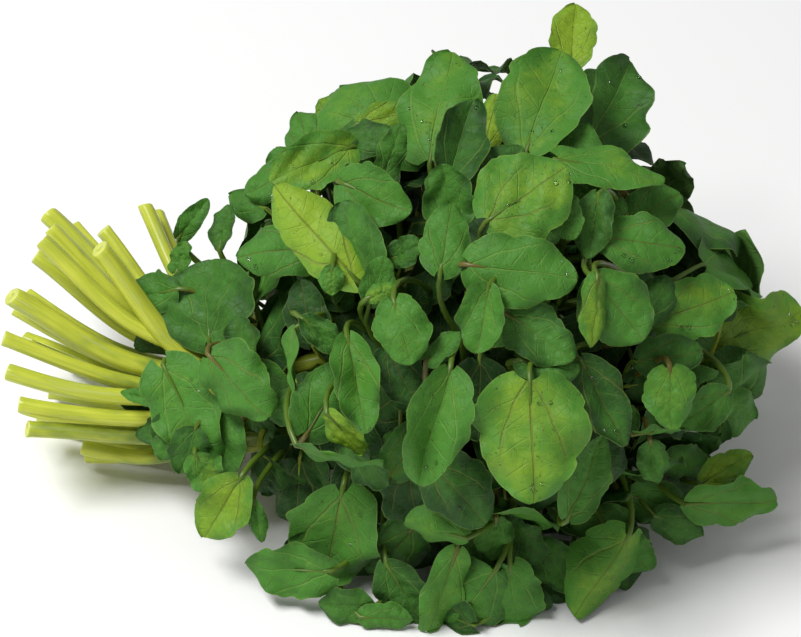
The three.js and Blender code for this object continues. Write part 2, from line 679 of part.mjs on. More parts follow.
// The largest single body of a solid, with needle-thin facets taken out.
function oneBody(solid) {
  let body = solid;
  for (const fineness of SMOOTHING) {
    const bodies = solid.simplify(fineness).decompose();
    bodies.sort((a, b) => b.volume() - a.volume());
    [body] = bodies;
    if (staysClosed(body)) {
      return body;
    }
  }
  return body;
}

function toMesh(solid, name, colour) {
  const mesh = solid.getMesh();
  const geometry = new THREE.BufferGeometry();
  geometry.setAttribute("position", new THREE.BufferAttribute(new Float32Array(mesh.vertProperties), 3));
  geometry.setIndex([...mesh.triVerts]);
  geometry.computeVertexNormals();
  const material = new THREE.MeshStandardMaterial({ color: colour, roughness: 0.5 });
  const named = new THREE.Mesh(geometry, material);
  named.name = name;
  return named;
}

// ---- Assembly ----

const places = packNeck();
const stems = STEMS.map((stem, index) => makeStem(stem, places[index]));
const shown = SHOW_LEAVES.map(showLeaf).map((leaf) => ({ ...leaf, give: SHOWN_GIVE }));
const back = roundLeaves(BACK_LEAVES, 0, (outward, centre) => outward.dot(SHOW) < BACK_EDGE && inOutline(centre));
const inner = roundLeaves(INNER_LEAVES, INNER_DEPTH, () => true);
const hidden = [...back, ...inner].map((leaf) => ({ ...leaf, give: 1 }));
const laid = [...shown, ...hidden];
settle(laid, stems);
const leaves = laid.filter((leaf) => leaf.give < 1 || leaf.crossing < CROWDED);

const stalks = [];
for (const leaf of leaves) {
  const stalk = attach(leaf, stems, stalks);
  stems[stalk.stem].joints.push(stalk.joint);
  stalks.push(stalk);
}

const outline = bandOutline(places);
const bandGrown = bandSolid(outline, GAP);
const stemsGrown = stems.map((stem) => tubeSolid(stem.path, stem.radii.map((radius) => radius + GAP), STEM_SIDES));
const stalksGrown = stalks.map((stalk) => {
  return tubeSolid(stalk.path, stalk.path.map(() => STALK_RADIUS + GAP), 4);
});
const bladesGrown = leaves.map(bladeSpace);

const group = new THREE.Group();
group.name = "watercress_bunch";
stems.forEach((stem, index) => {
  const parts = [cutClear(tubeSolid(stem.path, stem.radii, STEM_SIDES), stemsGrown.slice(0, index))];
  stalks.forEach((stalk, order) => {
    if (stalk.stem === index) {
      parts.push(cutLeaf(order));
    }
  });
  const name = `sprig_${String(index + 1).padStart(2, "0")}`;
  const tone = index % GREENS.length;
  group.add(toMesh(oneBody(wasm.Manifold.union(parts)), name, GREENS[tone]));
});
group.add(toMesh(oneBody(cutClear(bandSolid(outline, 0), stemsGrown)), "tie_band", BAND_COLOUR));

// The finished bunch stands with the middle of its footprint at the origin.
const box = new THREE.Box3().setFromObject(group);
const middle = box.getCenter(vec(0, 0, 0));
for (const mesh of group.children) {
  mesh.geometry.translate(-middle.x, -middle.y, -box.min.z);
}

export default group;
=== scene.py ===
"""Watercress bunch lying on its side: leafy sprigs gathered by an elastic band, on a pale floor."""
import functools
import math

import bpy
import numpy as np
from bpy.props import FloatProperty, FloatVectorProperty, IntProperty, PointerProperty
from bpy.types import Operator, Panel, PropertyGroup
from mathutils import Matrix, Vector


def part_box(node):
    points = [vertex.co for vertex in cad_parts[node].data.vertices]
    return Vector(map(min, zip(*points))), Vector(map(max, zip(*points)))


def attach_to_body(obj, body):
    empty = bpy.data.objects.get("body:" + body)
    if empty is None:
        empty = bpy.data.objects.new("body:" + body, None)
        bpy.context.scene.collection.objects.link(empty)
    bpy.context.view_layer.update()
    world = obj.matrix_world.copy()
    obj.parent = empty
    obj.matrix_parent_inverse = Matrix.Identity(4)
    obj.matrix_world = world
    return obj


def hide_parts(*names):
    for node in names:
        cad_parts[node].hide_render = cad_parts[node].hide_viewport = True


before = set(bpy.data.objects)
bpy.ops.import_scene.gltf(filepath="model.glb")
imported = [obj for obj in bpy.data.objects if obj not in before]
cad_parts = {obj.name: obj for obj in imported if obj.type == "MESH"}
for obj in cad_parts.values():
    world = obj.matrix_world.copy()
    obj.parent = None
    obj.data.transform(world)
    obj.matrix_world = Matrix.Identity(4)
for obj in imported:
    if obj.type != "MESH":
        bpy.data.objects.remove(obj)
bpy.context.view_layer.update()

bl_info = {
    "name": "Watercress bunch",
    "version": (1, 0, 0),
    "blender": (4, 5, 0),
    "location": "3D View > Sidebar > Watercress",
    "description": "Builds a tied bunch of watercress with veined leaves, juicy stems and a soft stage",
    "category": "Object",
}

# ---- Driving dimensions, in millimetres and degrees: the same plan as the solids' ----

SHOW_ELEVATION = 38  # degrees above the floor that the show side faces
HEAD = {"x": 24, "z": 50, "along": 68, "deep": 72, "above": 60, "below": 52}
NECK = np.array([-43.0, -5.0, 27.0])
FAN = np.array([0.0, 12.0, 33.0])
BUNDLE_RADIUS = 17
GAP = 0.3
TABLE_CLEAR = 0.6
STALK_RADIUS = 0.75
STEM_TIP_RADIUS = 1.1
STEM_STEPS = 8
BOW = {"inward": 0.3, "sag": 3}  # how the stems curve between cut end and neck
BAND = {"width": 5, "thick": 1.2, "clear": 0.5, "sides": 24}
LAYER_GAP = 1.7  # between one blade and the next
STEM_CLEAR = 3.2
SETTLE_ROUNDS = 60
CROWDED = 6  # a hidden leaf that crosses others at this many places is left out
NECK_SLACK = 1.18  # how loosely the stems lie in the band
JOINTS = 12
BLADE_SHRINK = 0.93  # visible blades are a little smaller than the plates of the plan
JOINT_FIRST, JOINT_APART = 0.43, 0.05  # where leaves may grow, as shares of a stem's length
STALK = {"pull": 0.36, "along": 0.6, "under": 0.75, "best": 12}  # how a stalk bends, and its best length
STALK_COST = {"at_stem": 16, "at_blade": 10, "taken": 4}  # of a sharp bend at either end, and of a busy stem
STALK_TRIES = 70
SHOWN_GIVE = 0.4  # how far a shown leaf gives way, where a hidden one gives 1
# How near leaves are compared, how far a push moves and turns a blade, how hard its own place pulls it
# back, and how far a shown leaf follows a push that isn't along the line of sight.
SETTLE = {"reach": 0.56, "step": 0.8, "stiff": 0.08, "spin": 0.12, "home": 0.02, "hold": 0.3}
POLE_POINTS, POLE_START = 36, 8  # places along a stem that push blades, and the first one that does
BLADE_OVAL = 0.27  # squared half size of the oval in which a blade is felt, against its length and width
LARGEST_PUSH = 4
END_FACING = 0.6  # how far leaves at the two ends of the head face along the bunch
TO_SHOW = 0.65  # how far the shown leaves turn from the head's skin to the show side
BACK_EDGE = 0.15  # how far round towards the show side the hidden leaves are kept
CROWN = {"left": 95, "left_slope": 0.9, "right": 120, "right_slope": 0.75}  # the show side's upper outline
BACK_LEAVES = 80
INNER_LEAVES = 18
INNER_DEPTH = 17
RIDGE_LEAVES, RIDGE_DEPTH, RIDGE_EDGE = 130, 7, 0.5  # spread under the shown ones, to close the crest
DEEP_LEAVES = 190  # smaller leaves that fill the head below its skin
DEEP_DEPTHS = (9, 40)
STEM_SWAY = 1.3  # how far a free stem end strays from its plan
WET_LEAVES, DROPS_EACH = 22, 4

# Cut ends of the stems: x, y, z and radius.
STEMS = [
    (-92, 25, 59, 2.6), (-91, 12, 65, 1.9), (-78, 2, 67, 2.6), (-93, 5, 66, 2.1), (-67, 36, 54, 1.9),
    (-64, 44, 48, 1.9), (-78, 36, 47, 2.2), (-98, 28, 33, 1.9), (-101, -2, 53, 2.6), (-103, -8, 47, 2.1),
    (-102, -14, 40, 2.3), (-99, -18, 33, 2.2), (-97, -20, 26, 2.3), (-83, -14, 13, 2.0), (-82, -6, 6, 1.8),
    (-79, 3, 4, 2.1), (-95, 12, 4, 2.2), (-92, 22, 5, 2.3), (-88, 34, 7, 2.2), (-96, 42, 18, 2.2),
    (-90, 48, 30, 2.0), (-99, 24, 20, 2.3), (-97, 10, 30, 2.2), (-94, 32, 46, 2.2), (-99, -4, 20, 2.2),
    (-86, 46, 42, 2.0), (-100, 8, 44, 2.1), (-95, 14, 54, 2.2), (-93, 2, 11, 2.1), (-98, 16, 38, 2.0),
]

# Leaves of the show side, laid out on a board that faces the viewer of that side:
# across and rise on the board, lift off the head, heading of the tip, length, width,
# tilt of the tip, roll, fold along the midrib, curl along the blade, and tone from dark -1 to yellow 1.
# The tone is partly the leaf's own colour and partly painted light and shade: leaves in shade
# are given darker tones and well lit leaves lighter ones.
SHOW_LEAVES = [
    # crown
    (10, 93, -4, 80, 36, 24, -10, -12, 6, 25, .25), (15, 80, 2, 75, 28, 18, -15, 15, 35, -30, -.5),
    (12, 67, 3, 100, 18, 17, 20, 0, 30, -60, -.2), (12, 56, 6, 80, 19, 14, -10, 5, 8, 15, 0),
    (-6, 66, 4, -25, 22, 17, 5, 10, 10, 20, .05), (-12, 93, -2, 130, 24, 30, -25, 0, 10, 45, .25),
    (-26, 86, -4, 105, 16, 12, -10, 0, 10, 15, .1), (-32, 78, -8, 120, 16, 12, 0, 0, 10, 20, -.1),
    (-23, 75, 2, 205, 24, 16, 10, -15, 15, 20, .5), (-34, 73, -3, 200, 18, 14, 5, 0, 8, 20, 0),
    (-21, 57, 8, 133, 34, 18, 5, 5, 14, 12, .85), (-11, 55, 3, 110, 24, 18, -5, -20, 8, 20, -.3),
    (-32, 53, 0, 185, 24, 16, -5, 0, 15, 20, 0), (-2, 79, 0, 70, 16, 9, 0, 30, 10, 10, -.2),
    (32, 66, 9, 35, 26, 27, 0, -5, 5, 14, .45),
    (37, 92, 2, 72, 33, 26, -8, -5, 12, 18, .3), (55, 94, -5, 65, 31, 25, -5, 15, 15, 20, -.3),
    (46, 115, -10, 85, 20, 14, 0, 0, 15, 10, 1), (54, 74, 2, -10, 30, 18, 0, -35, 15, 15, .25),
    (41, 61, 4, -60, 14, 12, 0, 0, 8, 10, -.1),
    (49, 59, 0, -100, 18, 14, 0, 20, 35, 0, -.3), (62, 55, 2, -5, 24, 18, -8, -10, 12, 15, 0),
    # over the neck
    (-45, 41, 10, 95, 24, 32, -15, 0, 6, 35, -.3), (-50, 14, 12, -57, 30, 21, 5, -5, 8, 20, .15),
    (-38, 20, 11, -42, 24, 20, 0, 5, 6, 20, 0), (-62, 42, 5, 190, 16, 13, -5, 0, 8, 20, -.2),
    (-58, 7, 6, -100, 14, 11, 0, 0, 8, 20, -.3), (-65, 17, 6, 175, 12, 5, 0, 20, 20, 10, 0),
    (-48, -2, 6, -60, 13, 12, 0, 0, 5, 10, .3), (-44, -10, 8, -118, 21, 16, 5, 0, 12, 10, .7),
    (-36, -15, 4, -80, 13, 6, 0, 0, 20, 10, .1), (-46, 60, 0, 80, 13, 8, -5, 0, 15, 15, -.3),
    (-55, 62, -2, 40, 15, 7, 10, 30, 20, 60, -.1), (-57, 52, 0, 70, 9, 7, 0, 0, 5, 10, .2),
    (-30, -3, 1, -30, 15, 11, 0, 30, 35, 20, -.5),
    # middle
    (-10, 19, 8, -78, 26, 16, 5, -10, 35, 12, .05), (1, 32, 8, -75, 18, 16, 0, 5, 12, 15, .1),
    (-4, 42, 6, 20, 8, 6, 0, 0, 5, 0, .5), (-19, 31, 2, -40, 14, 12, 0, -10, 45, -20, -.4),
    (-17, 45, 4, -90, 8, 7, 0, 0, 5, 0, .2),
    (-27, 23, 2, -85, 22, 12, 0, 65, 10, 10, .2), (-19, 15, -3, 60, 22, 18, -5, 0, 5, 10, -.1),
    (-13, 7, 7, -62, 16, 11, 0, 10, 15, 15, .75), (-14, 2, 8, -5, 24, 14, 0, 65, 15, 20, 0),
    (33, 6, 10, -88, 34, 32, 3, 0, 6, 14, .5), (9, 9, 8, -105, 33, 26, 0, -12, 45, 12, .1),
    (21, 35, 5, -100, 18, 15, 0, 15, 25, -25, .1), (31, 47, 6, -8, 30, 21, 0, 0, 8, 12, .1),
    (36, 31, 1, -35, 21, 16, 0, 0, 10, 10, -.3), (38, 24, 2, -10, 16, 12, 0, 0, 8, 10, -.2),
    (11, 29, 1, 40, 12, 9, 0, -40, 15, 10, -.2),
    (2, 53, 0, 20, 12, 10, 0, 0, 30, -20, -.4),
    # right
    (55, 38, 3, -50, 22, 21, 0, 0, 10, -10, -.1), (49, 37, 6, -95, 19, 10, 0, -35, 10, 10, .5),
    (76, 39, -2, 20, 25, 18, -5, 0, 10, 15, .3),
    (93, 33, 0, 30, 28, 30, 0, 0, 28, 10, .6), (88, 9, -4, -30, 18, 17, -5, 0, 8, 20, 0),
    (77, 13, 2, -150, 16, 13, 0, 0, 20, 30, -.1), (68, 16, 6, -88, 17, 16, 5, 0, 22, 5, .3),
    (52, 14, 0, -62, 26, 15, 0, -20, 20, 10, -.5), (66, 7, 2, 5, 14, 9, 0, 65, 10, 5, -.1),
    (64, 0, 3, -82, 12, 10, 0, 0, 25, -20, -.2),
    (80, 5, 0, -120, 12, 10, 0, 0, 10, 10, -.4), (84, -2, 2, 20, 16, 10, 0, -20, 12, 10, .6),
    # along the table
    (-16, -17, 10, -95, 32, 27, -5, 0, 10, 35, .1), (-2, -23, 4, -118, 24, 18, 0, 0, 10, 25, -.3),
    (-29, -27, 4, 185, 24, 17, -10, 0, 8, 20, 0), (47, -4, 3, 68, 25, 15, 0, 10, 25, 12, -.1),
    (85, -10, 4, -6, 26, 18, -5, 10, 25, 5, .2), (66, -11, 2, -20, 19, 14, 0, 0, 10, 15, -.2),
    (51, -27, 8, -122, 28, 22, 5, 0, -32, 10, .35), (53, -16, 3, -10, 17, 13, 0, 0, 8, 10, -.1),
    (59, -23, 3, -50, 18, 14, 0, 0, 15, 10, -.2), (29, -35, 5, -85, 23, 18, 0, 0, -15, 20, -.1),
    (18, -35, 6, -120, 26, 22, 0, 0, -12, 20, -.2), (11, -31, 9, -108, 28, 14, 0, -45, 20, 10, .25),
    (9, -16, 6, 165, 17, 14, 0, -10, -15, 10, .15), (15, -8, 2, -50, 23, 20, 0, 0, 15, -15, -.5),
    (2, -35, 3, -60, 22, 15, 0, 0, 10, 15, -.4), (-3, -40, 3, 0, 14, 10, 0, 0, 15, 10, 0),
    (-14, -37, 2, 180, 15, 12, 0, 0, 10, 10, -.3),
    (24, -20, 3, -90, 13, 11, 0, 0, 10, 10, -.1), (21, -25, 5, -70, 15, 9, 0, 40, 15, 5, 0),
]

# Small leaves that only look out between the others, in the same order of values.
# Most of their tones are dark, as painted shade of the gaps they fill.
TUCKED_LEAVES = [
    (-11, 82, -6, 0, 16, 12, 0, 0, 10, 10, -.4), (-4, 90, -6, 10, 16, 9, 0, 20, 10, 10, .7),
    (23, 90, -8, 80, 17, 10, 0, 10, 10, 10, .8), (52, 68, -6, -30, 16, 11, 0, 20, 10, 10, -.4),
    (-36, 6, -3, -60, 13, 10, 0, 30, 30, 20, -.3), (-25, 38, -8, 95, 18, 13, 0, 0, 5, 0, -.8),
    (-2, 48, -3, -20, 13, 10, 0, 0, 10, 10, 0), (66, 41, -6, 60, 15, 12, 0, 0, 10, 10, -.5),
    (74, -1, -2, -20, 15, 12, 0, 0, 8, 10, -.3), (32, -20, 0, -60, 15, 13, 0, 0, 10, 10, -.5),
    (0, 21, -5, -60, 17, 14, 0, 0, 10, 10, -.7), (-20, 94, -8, 60, 11, 8, 0, 0, 10, 10, .6),
    (-42, 68, -6, 160, 14, 11, 0, 0, 10, 10, -.2), (-40, 30, -2, 120, 16, 12, 0, 0, 10, 10, -.4),
    (25, 76, -6, 40, 18, 13, 0, 0, 10, 10, -.5), (45, 80, -8, 70, 20, 16, 0, 0, 10, 10, -.2),
    (66, 66, -8, 20, 18, 14, 0, 0, 10, 10, -.2), (70, 26, -6, 10, 18, 14, 0, 0, 10, 10, -.4),
    (88, 20, -8, 10, 16, 12, 0, 0, 10, 10, -.1), (40, -28, 0, -60, 16, 13, 0, 0, 10, 10, -.3),
    (72, -18, 0, -30, 15, 11, 0, 0, 10, 10, -.4), (-22, -8, -2, -80, 18, 13, 0, 0, 10, 10, -.5),
    (-30, 12, -4, 200, 15, 11, 0, 0, 10, 10, -.3), (-8, -2, -4, -30, 17, 13, 0, 0, 10, 10, -.5),
    (-43, 6, 9, -80, 18, 16, 0, 0, 10, 10, -.1), (-52, 3, 6, -110, 14, 12, 0, 10, 10, 10, -.4),
    # between the stems
    (-70, 37, -8, 170, 17, 13, 0, 0, 10, 10, -.6), (-68, 28, -10, 195, 16, 12, 0, 0, 10, 10, -.8),
    (-72, 12, -10, 185, 13, 9, 0, 10, 10, 10, -.7), (-66, 4, -8, 200, 14, 9, 0, 0, 10, 10, -.5),
    # the skirt along the table, made dark with painted shade
    (-24, -28, -5, -100, 20, 17, 0, 0, 15, 20, -.8), (-10, -30, -6, -80, 22, 18, 5, 10, 10, 25, -.9),
    (4, -26, -7, -60, 22, 18, 0, -20, 20, 20, -.8), (14, -30, -6, -100, 20, 17, 0, 20, 15, 10, -.9),
    (30, -28, -6, -80, 22, 18, 0, 0, 25, 20, -.8), (40, -34, -5, -120, 18, 15, 0, 0, 10, 10, -.7),
    (44, -20, -7, -60, 22, 18, 0, 20, 10, 20, -.9), (60, -30, -5, -90, 18, 15, 0, -10, 20, 10, -.7),
    (60, -12, -7, -40, 20, 17, 0, 0, 10, 20, -.9), (72, -10, -6, -60, 18, 15, 0, 20, 10, 10, -.8),
    (-28, -14, -7, -90, 22, 18, 0, 0, 15, 20, -.8), (-34, -6, -6, -110, 18, 16, 0, 0, 15, 20, -.9),
    (-10, -12, -8, -70, 22, 18, 0, 10, 15, 20, -.9), (4, -10, -8, -90, 22, 18, 0, -10, 15, 20, -.8),
    (20, -12, -8, -60, 22, 18, 0, 0, 15, 20, -.9), (36, -8, -8, -100, 22, 18, 0, 10, 15, 20, -.8),
    (52, 2, -8, -50, 20, 17, 0, 0, 15, 20, -.9), (76, 8, -7, -40, 18, 15, 0, 0, 15, 20, -.8),
    (20, 14, -8, -90, 22, 18, 0, 0, 15, 20, -.8), (-14, 4, -8, -60, 22, 18, 0, 0, 15, 20, -.9),
    (30, -40, -3, 0, 20, 16, 0, 0, 10, 0, -.7), (12, -42, -3, 180, 20, 16, 0, 0, 10, 0, -.7),
]


# ---- Small vector helpers ----

def vec(x, y, z):
    return np.array([x, y, z], dtype=float)


def unit(vector):
    return vector / np.linalg.norm(vector, axis=-1, keepdims=True)


def mix(low, high, share):
    return low + (high - low) * share


def turned(vector, axis, angle):
    """A vector turned about a unit axis. Works on rows too."""
    cosine = np.cos(angle)
    along = np.sum(vector * axis, axis=-1, keepdims=True) * axis
    return vector * cosine + np.cross(axis, vector) * np.sin(angle) + along * (1 - cosine)


def across_to(vector, direction):
    """The part of a vector that lies across a direction, made unit length."""
    return unit(vector - np.sum(vector * direction, axis=-1, keepdims=True) * direction)


ELEVATION = math.radians(SHOW_ELEVATION)
SHOW = vec(0, -math.cos(ELEVATION), math.sin(ELEVATION))
BOARD_UP = vec(0, math.sin(ELEVATION), math.cos(ELEVATION))
ACROSS = vec(1, 0, 0)


class Draws:
    """A plain repeatable stream of numbers."""

    def __init__(self, seed):
        self.state = seed

    def between(self, low, high):
        self.state = (self.state * 16807) % 2147483647
        return low + (high - low) * self.state / 2147483647


# ---- The leafy head that the leaves are laid on ----

def head_height(point):
    return HEAD["above"] if point[2] > HEAD["z"] else HEAD["below"]


def head_level(point):
    x = (point[0] - HEAD["x"]) / HEAD["along"]
    y = point[1] / HEAD["deep"]
    z = (point[2] - HEAD["z"]) / head_height(point)
    return x * x + y * y + z * z - 1


def head_normal(point):
    x = END_FACING * (point[0] - HEAD["x"]) / HEAD["along"] ** 2
    y = point[1] / HEAD["deep"] ** 2
    z = (point[2] - HEAD["z"]) / head_height(point) ** 2
    return unit(vec(x, y, z))


def show_point(across, rise):
    """The first point of the head met from the show side at a place on the board."""
    start = across * ACROSS + rise * BOARD_UP
    best, best_level = start, math.inf
    for depth in range(120, -60, -1):
        point = start + depth * SHOW
        level = head_level(point)
        if level < 0:
            return point
        if level < best_level:
            best, best_level = point, level
    return best


# ---- Leaves as plates in space ----

class Leaf:
    """One leaf blade: its middle, the directions of tip, side and upper face, and its form."""

    def __init__(self, centre, outward, heading, length, width, tilt, roll, fold, curl, tone, give):
        east = across_to(ACROSS, outward)
        north = np.cross(outward, east)
        turn, tilt, roll = math.radians(heading), math.radians(tilt), math.radians(roll)
        tip = math.cos(turn) * east + math.sin(turn) * north
        side = np.cross(outward, tip)
        self.tip = turned(tip, side, -tilt)
        normal = turned(outward, side, -tilt)
        self.side = turned(side, self.tip, roll)
        self.normal = turned(normal, self.tip, roll)
        self.centre = centre
        self.length = length
        self.width = width
        self.fold = math.radians(fold)
        self.curl = math.radians(curl)
        self.tone = tone
        self.give = give
        self.crossing = 0
        self.stem = None

    def point(self, u, sideways=0.0, lift=0.0):
        """Points of the middle surface: u from base to tip, sideways and lift in millimetres."""
        curl = self.curl + 0.001  # a flat blade is bent a trace, so that it has a radius
        turn = curl * (np.asarray(u, dtype=float) - 0.5)
        forward = self.length / curl * np.sin(turn)
        drop = self.length / curl * (1 - np.cos(turn))
        place = self.centre + np.multiply.outer(forward, self.tip)
        place = place + np.multiply.outer(lift - drop, self.normal)
        place = place + np.multiply.outer(np.asarray(sideways, dtype=float) + 0 * turn, self.side)
        place[..., 2] = np.maximum(place[..., 2], TABLE_CLEAR)
        return place


def show_leaf(values, give):
    across, rise, lift, heading, length, width, tilt, roll, fold, curl, tone = values
    touch = show_point(across, rise)
    outward = unit(mix(head_normal(touch), SHOW, TO_SHOW))
    return Leaf(touch + lift * outward, outward, heading, length, width, tilt, roll, fold, curl, tone, give)


def in_outline(point):
    """Whether a point lies below the slopes that the head's outline has on the show side."""
    left = CROWN["left"] + CROWN["left_slope"] * point[0]
    right = CROWN["right"] - CROWN["right_slope"] * point[0]
    return point @ BOARD_UP < min(left, right)


def even_spread(count, start=0.0):
    """Places spread evenly over the head's skin, from top to bottom, each with its outward direction."""
    for index in range(count):
        height = 1 - 2 * (index + 0.5) / count
        turn = index * math.pi * (3 - math.sqrt(5)) + start
        ring = math.sqrt(1 - height * height)
        reach = HEAD["above"] if height > 0 else HEAD["below"]
        skin = vec(HEAD["x"] + HEAD["along"] * ring * math.cos(turn), HEAD["deep"] * ring * math.sin(turn),
                   HEAD["z"] + reach * height)
        yield skin, head_normal(skin)


def round_leaves(count, draws, depth, keep):
    """Leaves spread evenly round the head at a depth below its skin."""
    leaves = []
    for skin, outward in even_spread(count):
        heading = draws.between(-75, 75)
        length = draws.between(24, 33)
        width = length * draws.between(0.62, 0.86)
        angles = [draws.between(*span) for span in ((-12, 26), (-24, 24), (4, 24), (-10, 45))]
        centre = skin + outward * (draws.between(-3, 3) - depth)
        if keep(outward, centre):
            leaves.append(Leaf(centre, outward, heading, length, width, *angles, 0.0, 1.0))
    return leaves


def deep_leaves(draws):
    """Smaller leaves at mixed depths and angles, which close the gaps between the outer ones, given dark
    tones as painted shade.
    """
    leaves = []
    for skin, outward in even_spread(DEEP_LEAVES, start=1.1):
        length = draws.between(15, 25)
        width = length * draws.between(0.6, 0.85)
        angles = [draws.between(*span) for span in ((-20, 45), (-45, 45), (5, 35), (-25, 45))]
        heading = draws.between(-110, 110)
        centre = skin - outward * draws.between(*DEEP_DEPTHS)
        tone = draws.between(-1.2, -0.3)
        leaves.append(Leaf(centre, outward, heading, length, width, *angles, tone, 1.0))
    return leaves


def probe_grid(leaves):
    """Points spread over every blade, used to feel where it meets its neighbours."""
    stations = np.array([0.06, 0.28, 0.5, 0.72, 0.94])
    edges = np.array([-0.95, -0.5, 0, 0.5, 0.95])
    shares = np.sqrt(1 - (2 * stations - 1) ** 2)
    grids = []
    for leaf in leaves:
        half = np.outer(shares, edges) * leaf.width / 2
        lift = np.abs(half) * math.sin(leaf.fold)
        u = np.repeat(stations[:, None], 5, axis=1)
        grids.append(leaf.point(u, half * math.cos(leaf.fold), lift).reshape(-1, 3))
    return np.array(grids)


def pushes(probes, centre, tip, side, normal, form, gap):
    """How far each probe has to move along the normal of the blade it meets."""
    length, width, fold, curl = form
    offset = probes - centre
    x = np.sum(offset * tip, axis=-1)
    y = np.sum(offset * side, axis=-1)
    inside = (x / length) ** 2 + (y / width) ** 2 <= BLADE_OVAL
    height = np.sum(offset * normal, axis=-1) - np.abs(y) * np.tan(fold) + x * x * curl / (2 * length)
    facing = np.where(np.sum(height * inside, axis=-1, keepdims=True) < 0, -1.0, 1.0)
    needed = np.where(inside, gap - facing * height, 0)
    return facing * np.clip(needed, 0, LARGEST_PUSH)


def settle(leaves, stems, rounds):
    """Blades that cross push one another apart as stiff sheets do. The stems only push."""
    count = len(leaves)
    poles = np.array([spaced_points(stem.curve, POLE_POINTS)[POLE_START:] for stem in stems])
    form = np.array([[leaf.length, leaf.width, leaf.fold, leaf.curl] for leaf in leaves])
    give = np.array([leaf.give for leaf in leaves])
    arms = np.array([[leaf.tip, leaf.side, leaf.normal] for leaf in leaves])
    centre = np.array([leaf.centre for leaf in leaves])
    home = centre.copy()
    reach = SETTLE["reach"] * (form[:, None, 0] + form[None, :, 0])
    crossing = np.zeros(count)
    for _ in range(rounds):
        for index, leaf in enumerate(leaves):
            leaf.centre = centre[index]
            leaf.tip, leaf.side, leaf.normal = arms[index]
        probes = probe_grid(leaves)
        apart = np.linalg.norm(centre[:, None] - centre[None], axis=-1)
        near = (apart <= reach) & ~np.eye(count, dtype=bool) & (give[:, None] + give[None] > 0)
        one, other = np.nonzero(near)
        shift, spin, hits = np.zeros((count, 3)), np.zeros((count, 3)), np.zeros(count)
        values = form[other].T[:, :, None]
        push = pushes(probes[one], centre[other][:, None], arms[other, 0][:, None], arms[other, 1][:, None],
                      arms[other, 2][:, None], values, LAYER_GAP)
        share = (give[one] / (give[one] + give[other]))[:, None, None]
        force = push[..., None] * arms[other, 2][:, None]
        for who, part in ((one, share), (other, share - 1)):
            np.add.at(shift, who, np.sum(force * part, axis=1))
            twist = np.cross(probes[one] - centre[who][:, None], force * part)
            np.add.at(spin, who, np.sum(twist, axis=1))
            np.add.at(hits, who, np.sum(push != 0, axis=1))
        crossing = np.zeros(count)
        np.add.at(crossing, one, np.sum(push != 0, axis=1))
        for pole in poles:
            push = pushes(pole[None], centre[:, None], arms[:, 0][:, None], arms[:, 1][:, None],
                          arms[:, 2][:, None], form.T[:, :, None], STEM_CLEAR)
            force = -push[..., None] * arms[:, 2][:, None]
            shift += np.sum(force, axis=1)
            spin += np.sum(np.cross(pole[None] - centre[:, None], force), axis=1)
            hits += np.sum(push != 0, axis=1)
            crossing += np.sum(push != 0, axis=1)
        inward = np.outer(shift @ SHOW, SHOW)
        shift = np.where((give < 1)[:, None], mix(shift, inward, 1 - SETTLE["hold"]), shift)
        moving = (hits > 0) & (give > 0)
        total = np.linalg.norm(spin, axis=1)
        angle = total / (np.maximum(hits, 1) * SETTLE["stiff"] * form[:, 0] ** 2)
        angle = np.minimum(angle, SETTLE["spin"]) * moving
        axis = spin / np.maximum(total, 1e-9)[:, None]
        centre = centre + shift * (SETTLE["step"] * moving / np.maximum(hits, 1))[:, None]
        arms = turned(arms, axis[:, None], angle[:, None, None])
        centre = mix(centre, home, SETTLE["home"])
    for index, leaf in enumerate(leaves):
        leaf.centre = centre[index]
        leaf.tip, leaf.side, leaf.normal = arms[index]
        leaf.crossing = crossing[index]


# ---- Stems, and the stalks that join leaves to them ----

def pass_through(points, t):
    """A smooth curve through points, at a share t of its run."""
    spans = len(points) - 1
    place = np.clip(np.asarray(t, dtype=float), 0, 1) * spans
    first = np.minimum(place.astype(int), spans - 1)
    local = (place - first)[..., None]
    padded = np.vstack([2 * points[0] - points[1], points, 2 * points[-1] - points[-2]])
    before, start, end, after = (padded[first + step] for step in range(4))
    leave, arrive = 0.5 * (end - before), 0.5 * (after - start)
    square, cube = local ** 2, local ** 3
    return (start + leave * local + (3 * (end - start) - 2 * leave - arrive) * square
            + (2 * (start - end) + leave + arrive) * cube)


def spaced_points(points, divisions):
    """Points at even distances along a curve."""
    shares = np.linspace(0, 1, 201)
    steps = np.linalg.norm(np.diff(pass_through(points, shares), axis=0), axis=1)
    lengths = np.concatenate([[0], np.cumsum(steps)])
    return pass_through(points, np.interp(np.linspace(0, lengths[-1], divisions + 1), lengths, shares))


class Stem:
    """A stem from its cut end through the band to its tip in the head."""

    def __init__(self, index, cut, place):
        self.index = index
        self.radius = cut[3]
        self.cut = vec(*cut[:3])
        neck = NECK + vec(0, *place)
        share = math.hypot(*place) / BUNDLE_RADIUS
        tip = vec(76 - 24 * share * share, 42 * place[0] / BUNDLE_RADIUS, 50 + 34 * place[1] / BUNDLE_RADIUS)
        middle = mix(self.cut, neck, 0.5)
        middle[1:] = mix(middle[1:], neck[1:], BOW["inward"])
        middle[2] -= BOW["sag"]
        inner = vec(-12, mix(neck[1], tip[1], 0.24), mix(neck[2], tip[2], 0.26))
        outer = vec(22, mix(neck[1], tip[1], 0.58), mix(neck[2], tip[2], 0.6))
        self.curve = np.array([self.cut, middle, neck, inner, outer, tip])
        shares = np.linspace(0, 1, STEM_STEPS + 1)
        self.path = self.points(shares)
        self.joints = []

    def width_at(self, share):
        return mix(self.radius, STEM_TIP_RADIUS, np.maximum(0, share - 0.3) / 0.7)

    def points(self, shares):
        path = pass_through(self.curve, shares)
        path[:, 2] = np.maximum(path[:, 2], self.width_at(shares) + 0.2)
        return path


